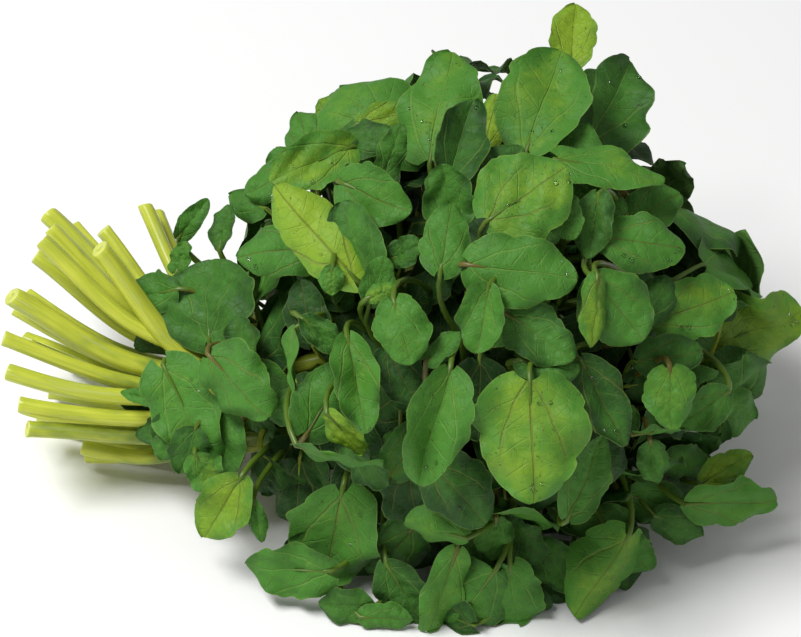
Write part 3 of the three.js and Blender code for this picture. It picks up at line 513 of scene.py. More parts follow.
def pack_neck():
    """Pushes the stems apart inside the band until none overlap, keeping the order they have in the fan."""
    places = np.array([[(y - FAN[1]) * 0.5, (z - FAN[2]) * 0.5] for _, y, z, _ in STEMS])
    radii = [stem[3] for stem in STEMS]
    for _ in range(400):
        for i in range(len(places)):
            for j in range(i):
                apart = math.hypot(*(places[i] - places[j])) + 0.001
                wanted = (radii[i] + radii[j]) * NECK_SLACK + GAP
                move = (places[i] - places[j]) * max(wanted - apart, 0) / (2 * apart)
                places[i] += move
                places[j] -= move
        for i, radius in enumerate(radii):
            reach = math.hypot(*places[i])
            limit = BUNDLE_RADIUS - radius
            if reach > limit:
                places[i] *= mix(1, limit / reach, 0.3)
    return places


def bezier(corners, t):
    t = np.asarray(t, dtype=float)[:, None]
    a, b, c, d = corners
    return a * (1 - t) ** 3 + 3 * b * t * (1 - t) ** 2 + 3 * c * t ** 2 * (1 - t) + d * t ** 3


def stalk_corners(root, run, leaf):
    """A stalk leaves its stem along the stem's run and comes up to the blade from below."""
    base = leaf.point(0.0)
    pull = STALK["pull"] * np.linalg.norm(root - base)
    below = leaf.tip * STALK["along"] + leaf.normal * STALK["under"]
    return [root, root + run * pull, base - below * pull, base]


def distance_to(probes, starts, ends):
    """The distance from each probe to each straight stretch."""
    run = ends - starts
    offset = probes[:, None] - starts[None]
    share = np.clip(np.sum(offset * run, axis=-1) / np.sum(run * run, axis=-1), 0, 1)
    return np.linalg.norm(offset - share[..., None] * run, axis=-1)


class Thicket:
    """Everything that a new stalk has to keep clear of."""

    def __init__(self, stems):
        self.starts = [path for stem in stems for path in stem.path[:-1]]
        self.ends = [path for stem in stems for path in stem.path[1:]]
        self.owners = [stem.index for stem in stems for _ in stem.path[1:]]
        self.radii = [STEM_TIP_RADIUS + 0.6] * len(self.starts)

    def add(self, path, owner):
        for start, end in zip(path[:-1], path[1:]):
            self.starts.append(start)
            self.ends.append(end)
            self.owners.append(owner)
            self.radii.append(STALK_RADIUS)

    def room(self, corners, owner):
        probes = bezier(corners, np.linspace(0, 1, 9)[1:])
        strange = np.array(self.owners) != owner
        starts, ends = np.array(self.starts)[strange], np.array(self.ends)[strange]
        return np.min(distance_to(probes, starts, ends) - np.array(self.radii)[strange]) - STALK_RADIUS


def attach(leaf, stems, thicket):
    """Finds the stem and the joint on it that a leaf grows from. Each joint bears one leaf."""
    base = leaf.point(0.0)
    choices = []
    for stem in stems:
        for joint in range(JOINTS):
            if joint in stem.joints:
                continue
            share = JOINT_FIRST + JOINT_APART * joint
            root = pass_through(stem.curve, share)
            run = unit(pass_through(stem.curve, share + 1e-4) - pass_through(stem.curve, share - 1e-4))
            distance = np.linalg.norm(base - root)
            reach = (base - root) / distance
            bends = STALK_COST["at_stem"] * (1 - reach @ run)
            bends += STALK_COST["at_blade"] * (1 - reach @ leaf.tip)
            cost = abs(distance - STALK["best"]) + bends + STALK_COST["taken"] * len(stem.joints)
            choices.append((cost, stem.index, joint, root, run))
    choices.sort(key=lambda choice: choice[:3])
    best = choices[0]
    for choice in choices[:STALK_TRIES]:
        if thicket.room(stalk_corners(choice[3], choice[4], leaf), choice[1]) > GAP:
            best = choice
            break
    _, owner, joint, root, run = best
    leaf.stem = owner
    leaf.stalk = stalk_corners(root, run, leaf)
    stems[owner].joints.append(joint)
    path = bezier(leaf.stalk, np.linspace(0, 1, 3))
    path[:, 2] = np.maximum(path[:, 2], STALK_RADIUS + 0.2)
    thicket.add(path, owner)


# ---- The whole plan, worked out once ----

class Plan:
    """Stems, leaves and their stalks, all in the plan's millimetres, and the shift to the frame."""

    def __init__(self):
        self.neck_places = pack_neck()
        ends = zip(STEMS, self.neck_places)
        self.stems = [Stem(index, cut, place) for index, (cut, place) in enumerate(ends)]
        draws = Draws(20731)
        shown = [show_leaf(values, SHOWN_GIVE) for values in SHOW_LEAVES]
        back = round_leaves(BACK_LEAVES, draws, 0,
                            lambda outward, centre: outward @ SHOW < BACK_EDGE and in_outline(centre))
        inner = round_leaves(INNER_LEAVES, draws, INNER_DEPTH, lambda outward, centre: True)
        laid = shown + back + inner
        settle(laid, self.stems, SETTLE_ROUNDS)
        solid = [leaf for leaf in laid if leaf.give < 1 or leaf.crossing < CROWDED]
        thicket = Thicket(self.stems)
        for leaf in solid:
            attach(leaf, self.stems, thicket)
        for leaf in solid:
            leaf.give = 0.0
        fillers = Draws(977)
        # Hidden leaves get tones at random within a span. The dark spans of the inner and ridge leaves are
        # painted shade of the head's inside, and a tenth are made lighter at random.
        self.tone_and_shade_hidden(back, fillers, (-0.45, 0.35))
        self.tone_and_shade_hidden(inner, fillers, (-0.9, -0.1))
        tucked = [show_leaf(values, 1.0) for values in TUCKED_LEAVES]
        ridge = round_leaves(RIDGE_LEAVES, fillers, RIDGE_DEPTH,
                             lambda outward, centre: 0 < outward @ SHOW < RIDGE_EDGE and in_outline(centre))
        self.tone_and_shade_hidden(ridge, fillers, (-0.8, 0))
        extra = tucked + ridge + deep_leaves(fillers)
        settle(solid + extra, self.stems, SETTLE_ROUNDS // 2)
        for stem in self.stems:
            stem.joints.clear()
        for leaf in extra:
            attach(leaf, self.stems, thicket)
        self.large = shown
        self.medium = [leaf for leaf in solid if leaf not in shown]
        self.small = extra
        self.shift = self.frame_shift()

    @staticmethod
    def tone_and_shade_hidden(leaves, draws, span):
        for leaf in leaves:
            leaf.tone = draws.between(*span)
            if draws.between(0, 1) > 0.9:
                leaf.tone += 0.6

    def band_outline(self):
        """The stretched outline round the stems, as a distance from the middle for each direction."""
        turns = np.arange(BAND["sides"]) / BAND["sides"] * 2 * math.pi
        radii = np.array([stem[3] for stem in STEMS]) * NECK_SLACK + BAND["clear"]
        reach = np.outer(np.cos(turns), self.neck_places[:, 0])
        reach = reach + np.outer(np.sin(turns), self.neck_places[:, 1])
        support = np.max(reach + radii, axis=1)
        lean = np.cos(turns[:, None] - turns[None])
        limits = np.where(lean > 0.1, support[None] / np.maximum(lean, 0.1), np.inf)
        return turns, np.min(limits, axis=1)

    def frame_shift(self):
        """What turns a place in the plan into a place in the frame, found from the band's box."""
        turns, reach = self.band_outline()
        outer = reach + BAND["thick"]
        low = vec(NECK[0] - BAND["width"] / 2, NECK[1] + np.min(outer * np.cos(turns)),
                  NECK[2] + np.min(outer * np.sin(turns)))
        return np.array(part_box("tie_band")[0]) * 1000 - low

    def in_frame(self, places):
        """Places of the plan, as metres in the frame."""
        return (np.asarray(places) + self.shift) / 1000


@functools.cache
def plan():
    return Plan()


# ---- Mesh making ----

class Skin:
    """Gathers closed surfaces for one object, with a place and a look for every corner."""

    def __init__(self):
        self.corners, self.places, self.looks = [], [], []
        self.faces, self.slots = [], []
        self.count = 0

    def add(self, corners, faces, slots, places, looks):
        self.corners.append(corners)
        self.places.append(places)
        self.looks.append(looks)
        self.faces.extend([[index + self.count for index in face] for face in faces])
        self.slots.extend(slots)
        self.count += len(corners)

    def make(self, name, materials, sharp):
        mesh = bpy.data.meshes.new(name)
        mesh.from_pydata(plan().in_frame(np.vstack(self.corners)), [], self.faces)
        for attribute, rows in (("place", self.places), ("look", self.looks)):
            data = mesh.attributes.new(attribute, "FLOAT_VECTOR", "POINT").data
            data.foreach_set("vector", np.vstack(rows).astype(np.float32).ravel())
        for material in materials:
            mesh.materials.append(material)
        mesh.polygons.foreach_set("material_index", np.array(self.slots, dtype=np.int32))
        mesh.polygons.foreach_set("use_smooth", np.ones(len(self.faces), dtype=bool))
        mesh.set_sharp_from_angle(angle=math.radians(sharp))
        mesh.validate()
        piece = bpy.data.objects.new(name, mesh)
        bpy.context.scene.collection.objects.link(piece)
        return piece


def grid_faces(rows, columns, start=0, flip=False):
    """Quads of a grid whose normals follow rows crossed with columns."""
    faces = []
    for row in range(rows - 1):
        for column in range(columns - 1):
            a = start + row * columns + column
            face = [a, a + columns, a + columns + 1, a + 1]
            faces.append(face[::-1] if flip else face)
    return faces


def border(rows, columns):
    """The corners round the rim of a grid, in the turning sense of its faces."""
    first = [row * columns for row in range(rows)]
    far = [(rows - 1) * columns + column for column in range(1, columns)]
    back = [row * columns + columns - 1 for row in range(rows - 2, -1, -1)]
    near = [column for column in range(columns - 2, 0, -1)]
    return first + far + back + near


def face_normals(places):
    """Unit normals of a grid of places."""
    down = np.gradient(places, axis=0)
    right = np.gradient(places, axis=1)
    return unit(np.cross(down, right))


def rim_shape(u, side, draws):
    """How the rim departs from a smooth oval: broad lobes, and round teeth parted by narrow notches."""
    lobes, teeth = draws.between(1.5, 2.3), draws.between(4.2, 6.4)
    phases = [draws.between(0, 1) for _ in range(3)]
    tooth = draws.between(0.05, 0.09)
    shape = 1 + 0.055 * np.sin(2 * np.pi * (lobes * u + phases[0] + 0.31 * side))
    shape += 0.03 * np.sin(2 * np.pi * ((2 * lobes + 0.4 * side) * u + phases[1]))
    notch = 1 - np.abs(np.sin(np.pi * ((teeth + 0.5 * side) * u + phases[2] + 0.2 * side)))
    return shape - tooth * notch ** 3


def blade_lift(leaf, u, s, y, half, relief, draws):
    """Height of the blade off its middle surface: fold, cup, bulges, ruffled rim and quilting."""
    cup = draws.between(-0.5, 0.12)
    wave = draws.between(0.04, 0.1) * leaf.width
    beats, turn = draws.between(1.4, 2.6), draws.between(0, 1)
    twist = draws.between(-0.35, 0.35)
    soft = 0.07 * leaf.width
    lift = (np.sqrt(y * y + soft * soft) - soft) * math.sin(leaf.fold)
    lift = lift + cup * half * s * s
    lift = lift + wave * np.abs(s) ** 2.4 * np.sin(2 * np.pi * (beats * u + turn + 0.27 * np.sign(s)))
    lift = lift + y * np.tan(twist * (u - 0.5))
    for scale in (1.2, 0.7):
        across, along, phase = draws.between(-0.9, 0.9), draws.between(0.7, 1.5), draws.between(0, 1)
        swell = np.sin(2 * np.pi * ((along * u + across * s) / scale + phase))
        lift = lift + 0.03 * scale * leaf.width * swell * np.sin(np.pi * u)
    away = np.abs(y) / leaf.length
    ladder = (u - 0.55 * away + 0.05) / 0.2 + 0.35 * (y > 0)
    quilt = np.sin(np.pi * ladder) ** 2 * (1 - s ** 4) * np.sin(np.pi * u)
    return lift + relief * quilt


def blade_skin(skin, leaf, rows, columns, relief, draws):
    """A thin closed leaf blade: round and a little heart-shaped, with a grooved midrib."""
    seed = draws.between(0, 100)
    peak = draws.between(0.66, 0.9)
    heart = draws.between(0.05, 0.15)
    bend = draws.between(-0.09, 0.09) * leaf.width
    u = 0.5 - 0.5 * np.cos(np.pi * np.linspace(0.04, 0.96, rows))[:, None]
    s = np.linspace(-1, 1, columns)[None]
    shape = rim_shape(u, np.sign(s), draws)
    shape = mix(1.0, shape, np.abs(s) ** 1.5)
    half = BLADE_SHRINK * leaf.width / 2 * np.sin(np.pi * u ** peak) ** 0.52 * shape
    y = s * half
    lift = blade_lift(leaf, u, s, y, half, relief, draws)
    groove = np.exp(-(y / 0.5) ** 2) * (1 - 0.7 * u)
    lift = lift - relief * groove
    along = u - heart * s * s * (1 - u) ** 4
    sideways = y * math.cos(leaf.fold) + bend * np.sin(np.pi * u) * (u - 0.35)
    middle = leaf.point(0.5 + BLADE_SHRINK * (along - 0.5) + 0 * s, sideways, lift)
    normals = face_normals(middle)
    thick = mix(0.42, 0.18, s * s) + 0 * u
    top = middle + normals * (thick / 2)[..., None]
    bottom = middle - normals * (thick / 2 + 0.5 * groove)[..., None]
    lowest = 0.25
    bottom[..., 2] = np.maximum(bottom[..., 2], lowest)
    top[..., 2] = np.maximum(top[..., 2], bottom[..., 2] + 0.2)
    leaf.surface = top, normals
    total = rows * columns
    faces = grid_faces(rows, columns) + grid_faces(rows, columns, total, flip=True)
    rim = border(rows, columns)
    for a, b in zip(rim, rim[1:] + rim[:1]):
        faces.append([a, a + total, b + total, b])
    flat = [value.ravel() for value in (along + 0 * s, y / leaf.length, np.abs(s) + 0 * u)]
    place = np.column_stack([flat[0], flat[1], np.full(total, seed)])
    looks = [np.column_stack([np.full(total, leaf.tone), np.full(total, under), flat[2]])
             for under in (0.0, 1.0)]
    skin.add(np.vstack([top.reshape(-1, 3), bottom.reshape(-1, 3)]), faces, [0] * len(faces),
             np.vstack([place, place]), np.vstack(looks))


def drop_skin(skin, middle, normal, radius):
    """A small flattened bead that sits on a blade."""
    side = across_to(vec(0.3, 0.2, 1), normal)
    other = np.cross(normal, side)
    heights = np.array([-0.35, -0.1, 0.25, 0.6, 0.85])
    rings = np.array([0.75, 1.0, 0.95, 0.72, 0.38])
    sides = 10
    flatness = 0.75
    turns = np.arange(sides) / sides * 2 * math.pi
    corners = []
    for height, ring in zip(heights, rings):
        for turn in turns:
            out = ring * (math.cos(turn) * side + math.sin(turn) * other)
            corners.append(middle + radius * (out + flatness * height * normal))
    faces = []
    for ring in range(len(rings) - 1):
        for corner in range(sides):
            a, b = ring * sides + corner, ring * sides + (corner + 1) % sides
            faces.append([a, b, b + sides, a + sides])
    faces.append(list(range(sides))[::-1])
    faces.append(list(range(sides * (len(rings) - 1), sides * len(rings))))
    blank = np.zeros((len(corners), 3))
    skin.add(np.array(corners), faces, [0] * len(faces), blank, blank)


def tube_skin(skin, path, radii, sides, rings_in_slot, seed, tones, ribs=0.0, slant=0.0):
    """A closed tube along a path. The first rings can lie on one another to form a cut end."""
    runs = np.gradient(path, axis=0)
    runs[np.linalg.norm(runs, axis=1) < 1e-6] = path[-1] - path[0]
    steady = unit(path[min(4 + rings_in_slot, len(path) - 1)] - path[rings_in_slot])
    reference = vec(0, 0.2, 1)
    turns = np.arange(sides) / sides * 2 * math.pi
    rings = []
    for index, (point, run) in enumerate(zip(path, runs)):
        run = steady if index <= rings_in_slot + 1 else unit(run)
        reference = across_to(reference, run)
        other = np.cross(run, reference)
        reach = radii[index] * (1 + ribs * np.cos(6 * turns + seed))
        ring = point + np.outer(reach * np.cos(turns), reference) + np.outer(reach * np.sin(turns), other)
        if index <= rings_in_slot + 1:
            ring = ring + np.outer(slant * reach * np.cos(turns + seed), run)
        rings.append(ring)
    corners = np.vstack(rings)
    count = len(path)
    faces, slots = [], []
    for ring in range(count - 1):
        for corner in range(sides):
            a, b = ring * sides + corner, ring * sides + (corner + 1) % sides
            faces.append([a, b, b + sides, a + sides])
            slots.append(1 if ring < rings_in_slot else 0)
    faces.append(list(range(sides))[::-1])
    slots.append(1 if rings_in_slot else 0)
    faces.append([(count - 1) * sides + corner for corner in range(sides)])
    slots.append(0)
    lengths = np.concatenate([[0], np.cumsum(np.linalg.norm(np.diff(path, axis=0), axis=1))])
    place = np.column_stack([np.repeat(lengths / 10, sides), np.tile(np.cos(turns), count),
                             np.tile(np.sin(turns), count)])
    look = np.column_stack([np.repeat(tones, sides), np.full(count * sides, seed),
                            np.repeat(np.linspace(0, 1, count), sides)])
    skin.add(corners, faces, slots, place, look)


def stem_skin(skin, stem, rings, sides, draws):
    """A juicy stem with a hollow, slightly slanting cut end and swollen joints."""
    shares = np.linspace(0, 1, rings)
    path = stem.points(shares)
    free = np.clip((0.38 - shares) / 0.38, 0, 1) ** 1.5
    wobble = (np.sin(np.pi * shares) * 0.4 + free * STEM_SWAY)[:, None]
    beat = draws.between(0, 6)
    path[:, 1:] += wobble * np.column_stack([np.sin(13 * shares + beat), np.cos(11 * shares + beat)])
    path[:, 2] = np.maximum(path[:, 2], stem.width_at(shares) + 0.2)
    radii = stem.width_at(shares) * (0.97 + 0.06 * np.sin(9 * shares + beat))
    for joint in range(JOINTS):
        radii *= 1 + 0.14 * np.exp(-((shares - JOINT_FIRST - JOINT_APART * joint) / 0.007) ** 2)
    inward = unit(path[1] - path[0])
    pit = draws.between(0.32, 0.5)
    cut = np.array([path[0] + inward * depth for depth in (2.4, 0.35, 0.0, 0.0, 0.25)])
    cut_radii = stem.radius * np.array([pit * 0.8, pit, pit + 0.1, 0.9, 0.97])
    path = np.vstack([cut, path[1:]])
    radii = np.concatenate([cut_radii, radii[1:]])
    tones = np.concatenate([np.zeros(5), shares[1:]])
    seed = draws.between(0, 100)
    tube_skin(skin, path, radii, sides, 4, seed, tones, ribs=0.035, slant=draws.between(-0.35, 0.35))


def stalk_skin(skin, leaf, rings, sides, draws, scale):
    """A leaf stalk that runs on under the blade as its midrib."""
    shares = np.linspace(0, 1, rings)
    path = bezier(leaf.stalk, shares)
    inside = leaf.point(np.array([0.1, 0.22, 0.4]), 0.0, -0.3)
    path = np.vstack([path, inside])
    radii = np.concatenate([mix(1.15, 0.72, shares ** 0.6), [0.55, 0.36, 0.16]]) * scale
    path[:, 2] = np.maximum(path[:, 2], radii + 0.1)
    tones = np.full(len(path), 1.0) + 0.5 * leaf.tone
    tube_skin(skin, path, radii, sides, 0, draws.between(0, 100), tones, ribs=0.06)


# ---- Shader maths ----

class Value:
    """A socket that sums and products can be written with."""

    def __init__(self, graph, socket):
        self.graph = graph
        self.socket = socket

    def math(self, operation, *others):
        inputs = dict(enumerate((self, *others)))
        return self.graph.node("ShaderNodeMath", {"operation": operation}, inputs)

    def __add__(self, other):
        return self.math("ADD", other)

    def __sub__(self, other):
        return self.math("SUBTRACT", other)

    def __mul__(self, other):
        return self.math("MULTIPLY", other)

    def __truediv__(self, other):
        return self.math("DIVIDE", other)

    def __rsub__(self, other):
        return self.graph.node("ShaderNodeMath", {"operation": "SUBTRACT"}, {0: other, 1: self})

    def __abs__(self):
        return self.math("ABSOLUTE")

    __radd__ = __add__
    __rmul__ = __mul__

    def fraction(self):
        return self.math("FRACT")

    def over(self, other):
        return self.math("GREATER_THAN", other)

    def fade(self, low, high):
        """0 at low and 1 at high, with soft ends."""
        settings = {"interpolation_type": "SMOOTHSTEP"}
        inputs = {"Value": self, "From Min": low, "From Max": high}
        return self.graph.node("ShaderNodeMapRange", settings, inputs)

    def parts(self):
        """The three parts of a vector."""
        split = self.graph.node("ShaderNodeSeparateXYZ", {}, {0: self})
        return [Value(self.graph, socket) for socket in split.socket.node.outputs]


class Graph:
    """The nodes of one material."""

    def __init__(self, name):
        self.material = bpy.data.materials.new(name)
        self.material.use_nodes = True
        self.tree = self.material.node_tree
        self.tree.nodes.clear()

    def node(self, kind, settings, inputs, output=0):
        made = self.tree.nodes.new(kind)
        for key, value in settings.items():
            setattr(made, key, value)
        for key, value in inputs.items():
            if isinstance(value, Value):
                self.tree.links.new(value.socket, made.inputs[key])
            else:
                made.inputs[key].default_value = value
        return Value(self, made.outputs[output]) if len(made.outputs) else None

    def attribute(self, name):
        return self.node("ShaderNodeAttribute", {"attribute_name": name}, {}, output="Vector")

    def vector(self, x, y, z):
        return self.node("ShaderNodeCombineXYZ", {}, {0: x, 1: y, 2: z})

    def noise(self, vector, scale, detail=2.0):
        return self.node("ShaderNodeTexNoise", {}, {"Vector": vector, "Scale": scale, "Detail": detail})

    def cells(self, vector, scale, feature="F1", output="Distance"):
        inputs = {"Vector": vector, "Scale": scale}
        return self.node("ShaderNodeTexVoronoi", {"feature": feature}, inputs, output)

    def blend(self, factor, first, second):
        return self.node("ShaderNodeMix", {"data_type": "RGBA"}, {0: factor, 6: first, 7: second}, output=2)

    def bump(self, height, strength, distance):
        inputs = {"Height": height, "Strength": strength, "Distance": distance}
        return self.node("ShaderNodeBump", {}, inputs)

    def skin(self, inputs):
        return self.node("ShaderNodeBsdfPrincipled", {}, inputs)

    def finish(self, shader):
        self.node("ShaderNodeOutputMaterial", {}, {"Surface": shader})
        return self.material


def colour(values):
    return (*values, 1.0)


def leaf_finish(colours):
    """Waxy leaf: faint forked veins that fan from the base, a fine net, soft blotches, painted shade from
    the darker tones and towards the margin, and a light rim that is partly a paler margin and partly a
    painted highlight.
    """
    graph = Graph("cress_leaf")
    along, across, seed = graph.attribute("place").parts()
    tone, under, edge = graph.attribute("look").parts()
    spot = graph.vector(along, across, seed)
    wander = graph.noise(spot, 3.5, 1.0) - 0.5
    away = abs(across)
    midrib = 1 - away.fade(0.002, 0.014 - 0.008 * along)
    fan = away - 0.62 * along + 0.35 * along * along + 0.09 * wander
    palm = (1 - abs(fan).fade(0.003, 0.016)) * (1 - along.fade(0.45, 0.75))
    ladder = (along - 0.55 * away - 0.4 * away * away + 0.11 * wander + 0.05) / 0.2 + 0.35 * across.over(0)
    lateral = 1 - abs(ladder.fraction() - 0.5).fade(0.01, 0.055)
    lateral = lateral * away.fade(0.0, 0.08) * (1 - edge.fade(0.55, 0.95))
    net = 1 - graph.cells(spot, 13.0, "DISTANCE_TO_EDGE").fade(0.0, 0.06)
    veins = (midrib + 0.7 * palm + 0.45 * lateral).math("MINIMUM", 1.0)
    blotch = graph.noise(spot, 2.4, 4.0) - 0.5
    # painted shade: the tone darkens hidden and shaded leaves, and the blade is darkened towards its margin
    # as shade of its ruffled rim. The blotches and fine noise are the leaf's own colour.
    tone_and_painted_shade = tone + 1.05 * blotch + 0.5 * (graph.noise(spot, 13.0) - 0.5) - 0.25 * edge.fade(0.4, 0.9)
    green = graph.blend(tone_and_painted_shade.fade(-1.0, 0.1), colour(colours.leaf_dark_and_shade), colour(colours.leaf_mid))
    green = graph.blend(tone_and_painted_shade.fade(0.05, 1.05), green, colour(colours.leaf_light))
    pale = graph.blend(0.5, green, colour(colours.vein))
    painted = graph.blend(0.6 * veins, green, pale)
    painted = graph.blend(0.2 * net, painted, pale)
    # painted highlight: a thin pale rim at the margin, partly the leaf's paler edge and partly the light
    # that the edges catch.
    painted = graph.blend(0.65 * edge.fade(0.965, 0.99), painted, pale)
    flush = (seed * 3.7).fraction().fade(0.6, 0.7) * (midrib + 0.5 * palm).math("MINIMUM", 1.0) * 0.5
    painted = graph.blend(flush, painted, colour(colours.flush))
    speck = graph.noise(spot, 38.0, 0.5).fade(0.73, 0.77) * 0.6
    painted = graph.blend(speck, painted, colour(colours.speck))
    paler = graph.blend(0.5, painted, colour(colours.leaf_under))
    painted = graph.blend(0.85 * under, painted, paler)
    rough = 0.46 + 0.2 * graph.noise(spot, 6.0) + 0.12 * under
    pillow = graph.cells(spot, 9.0)
    relief = 0.8 * veins + 0.2 * net + 0.8 * pillow * pillow + 0.1 * graph.noise(spot, 40.0)
    facing = 1 - 2 * under
    normal = graph.bump((1 - relief) * facing, 0.6, 0.0007)
    inputs = {"Base Color": painted, "Roughness": rough, "Normal": normal, "Specular IOR Level": 0.28}
    face = graph.skin(inputs)
    glow = graph.node("ShaderNodeBsdfTranslucent", {}, {"Color": colour(colours.glow), "Normal": normal})
    return graph.finish(graph.node("ShaderNodeMixShader", {}, {0: 0.14, 1: face, 2: glow}))


def stem_finish(colours):
    """Smooth juicy stem: fine lengthwise streaks, painted cream highlights on the lower stems, pale below
    and greener towards the leaves.
    """
    graph = Graph("cress_stem")
    along, cosine, sine = graph.attribute("place").parts()
    tone, seed, _ = graph.attribute("look").parts()
    streak = graph.vector(0.25 * along + seed, cosine * 1.6, sine * 1.6)
    lines = graph.noise(streak, 1.6, 4.0)
    patches = graph.noise(graph.vector(along + seed, cosine * 0.5, sine * 0.5), 0.9)
    greener = (tone + 0.9 * (patches - 0.5) + 0.5 * ((seed * 7.1).fraction() - 0.5)).fade(0.12, 0.7)
    streaked = (0.6 * lines + 0.4 * patches).fade(0.3, 0.75)
    flesh = graph.blend(streaked, colour(colours.stem_light), colour(colours.stem_deep))
    # painted highlight: pale cream streaks in the pith colour, where the streak noise is high on the lower
    # stems, stand for light glancing along them.
    painted_highlight = (lines + 0.5 * patches).fade(0.78, 0.98) * (1 - tone.fade(0.1, 0.5)) * 0.6
    flesh = graph.blend(painted_highlight, flesh, colour(colours.pith))
    flesh = graph.blend(greener, flesh, colour(colours.stem_green))
    flush = (seed * 5.3 + 0.2 * patches).fraction().fade(0.7, 0.82) * tone.fade(0.5, 1.0) * 0.6
    flesh = graph.blend(flush, flesh, colour(colours.flush))
    rough = 0.22 + 0.2 * lines
    normal = graph.bump(lines, 0.18, 0.0005)
    inputs = {"Base Color": flesh, "Roughness": rough, "Normal": normal, "Specular IOR Level": 0.35,
              "Subsurface Weight": 0.12, "Subsurface Radius": (0.9, 1.0, 0.3), "Subsurface Scale": 0.002}
    return graph.finish(graph.skin(inputs))


def cut_finish(colours):
    """Moist pith of the cut ends, mottled between the pith colour and the pale stem colour."""
    graph = Graph("cress_cut")
    along, cosine, sine = graph.attribute("place").parts()
    _, seed, _ = graph.attribute("look").parts()
    grain = graph.noise(graph.vector(along * 4, cosine + seed, sine), 6.0, 3.0)
    pith = graph.blend(grain.fade(0.3, 0.7), colour(colours.pith), colour(colours.stem_light))
    normal = graph.bump(grain, 0.4, 0.0004)
    return graph.finish(graph.skin({"Base Color": pith, "Roughness": 0.35 + 0.2 * grain, "Normal": normal}))


def band_finish(colours):
    """Matt tan rubber with a faint moulded grain."""
    graph = Graph("band_rubber")
    where = graph.node("ShaderNodeTexCoord", {}, {}, output="Object")
    grain = graph.noise(where, 900.0, 3.0)
    darker = [0.8 * part for part in colours.band]
    tan = graph.blend(grain.fade(0.3, 0.7), colour(colours.band), colour(darker))
    normal = graph.bump(grain, 0.25, 0.0003)
    return graph.finish(graph.skin({"Base Color": tan, "Roughness": 0.55 + 0.2 * grain, "Normal": normal}))


def water_finish():
    """Clear water."""
    graph = Graph("water_drop")
    return graph.finish(graph.skin({"Base Color": (1, 1, 1, 1), "Roughness": 0.02, "IOR": 1.33,
                                    "Transmission Weight": 1.0}))


def floor_finish(colours):
    """Smooth pale board with a barely seen mottle."""
    graph = Graph("pale_floor")
    where = graph.node("ShaderNodeTexCoord", {}, {}, output="Object")
    mottle = graph.noise(where, 6.0, 3.0)
    pale = graph.blend(mottle, colour(colours.floor), colour([0.985 * part for part in colours.floor]))
    return graph.finish(graph.skin({"Base Color": pale, "Roughness": 0.6, "Specular IOR Level": 0.2}))


# ---- Settings that a user would change ----

def tint(name, description, default):
    return FloatVectorProperty(name=name, description=description, default=default, size=3, min=0.0, max=1.0,
                               subtype="COLOR")


class WatercressColours(PropertyGroup):
    # The dark leaf green is also the painted shade of leaves that lie deep in the head.
    leaf_dark_and_shade: tint("Dark leaf", "Deepest leaf green", (0.014, 0.064, 0.009))
    leaf_mid: tint("Leaf", "Common leaf green", (0.070, 0.238, 0.026))
    leaf_light: tint("Young leaf", "Yellow green of young leaves", (0.26, 0.42, 0.024))
    leaf_under: tint("Leaf underside", "Paler green under the blade", (0.15, 0.27, 0.075))
    vein: tint("Vein", "Pale green of the veins", (0.30, 0.44, 0.085))
    glow: tint("Glow", "Light that comes through a blade", (0.22, 0.42, 0.02))
    flush: tint("Flush", "Purple brown on some veins and stalks", (0.15, 0.075, 0.025))
    speck: tint("Speck", "Small brown blemishes", (0.035, 0.05, 0.012))
    stem_light: tint("Stem light", "Palest stem yellow green", (0.60, 0.64, 0.07))
    stem_deep: tint("Stem deep", "Streaks on the stems", (0.31, 0.39, 0.018))
    stem_green: tint("Stem green", "Stems inside the head", (0.085, 0.155, 0.014))
    # The pith colour also paints the highlight streaks on the stems.
    pith: tint("Pith", "Moist flesh at the cut ends", (0.58, 0.63, 0.2))
    band: tint("Band", "Rubber of the tie band", (0.56, 0.40, 0.19))
    floor: tint("Floor", "Pale floor", (0.93, 0.93, 0.925))


class WatercressForm(PropertyGroup):
    blade_rows: IntProperty(name="Blade rows", description="Steps along a large leaf", default=34, min=8)
    blade_columns: IntProperty(name="Blade columns", description="Steps across a large leaf",
                               default=27, min=7)
    relief: FloatProperty(name="Vein relief", default=0.26, min=0.0,
                          description="Height of the quilting between veins, in millimetres")
    stem_rings: IntProperty(name="Stem rings", description="Steps along a stem", default=90, min=20)
    stem_sides: IntProperty(name="Stem sides", description="Steps round a stem", default=20, min=8)


class WatercressStage(PropertyGroup):
    key_power: FloatProperty(name="Key light", description="Power of the main soft light", default=104.0,
                             unit="POWER")
    fill_power: FloatProperty(name="Fill light", description="Power of the side light", default=9.0,
                              unit="POWER")
    sky: FloatProperty(name="Sky", description="Strength of the even surrounding light", default=0.34,
                       min=0.0)
    distance: FloatProperty(name="Camera distance", description="From the camera to the bunch", default=3.0,
                            unit="LENGTH")
    view_width: FloatProperty(name="View width", description="Width of what the camera sees", default=0.2102,
                              unit="LENGTH")


# ---- Operators: one for each group of pieces ----

def keep(piece, nodes, slot):
    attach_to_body(piece, "root")
    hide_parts(*nodes)


def sprig_name(index):
    return f"sprig_{index + 1:02d}"


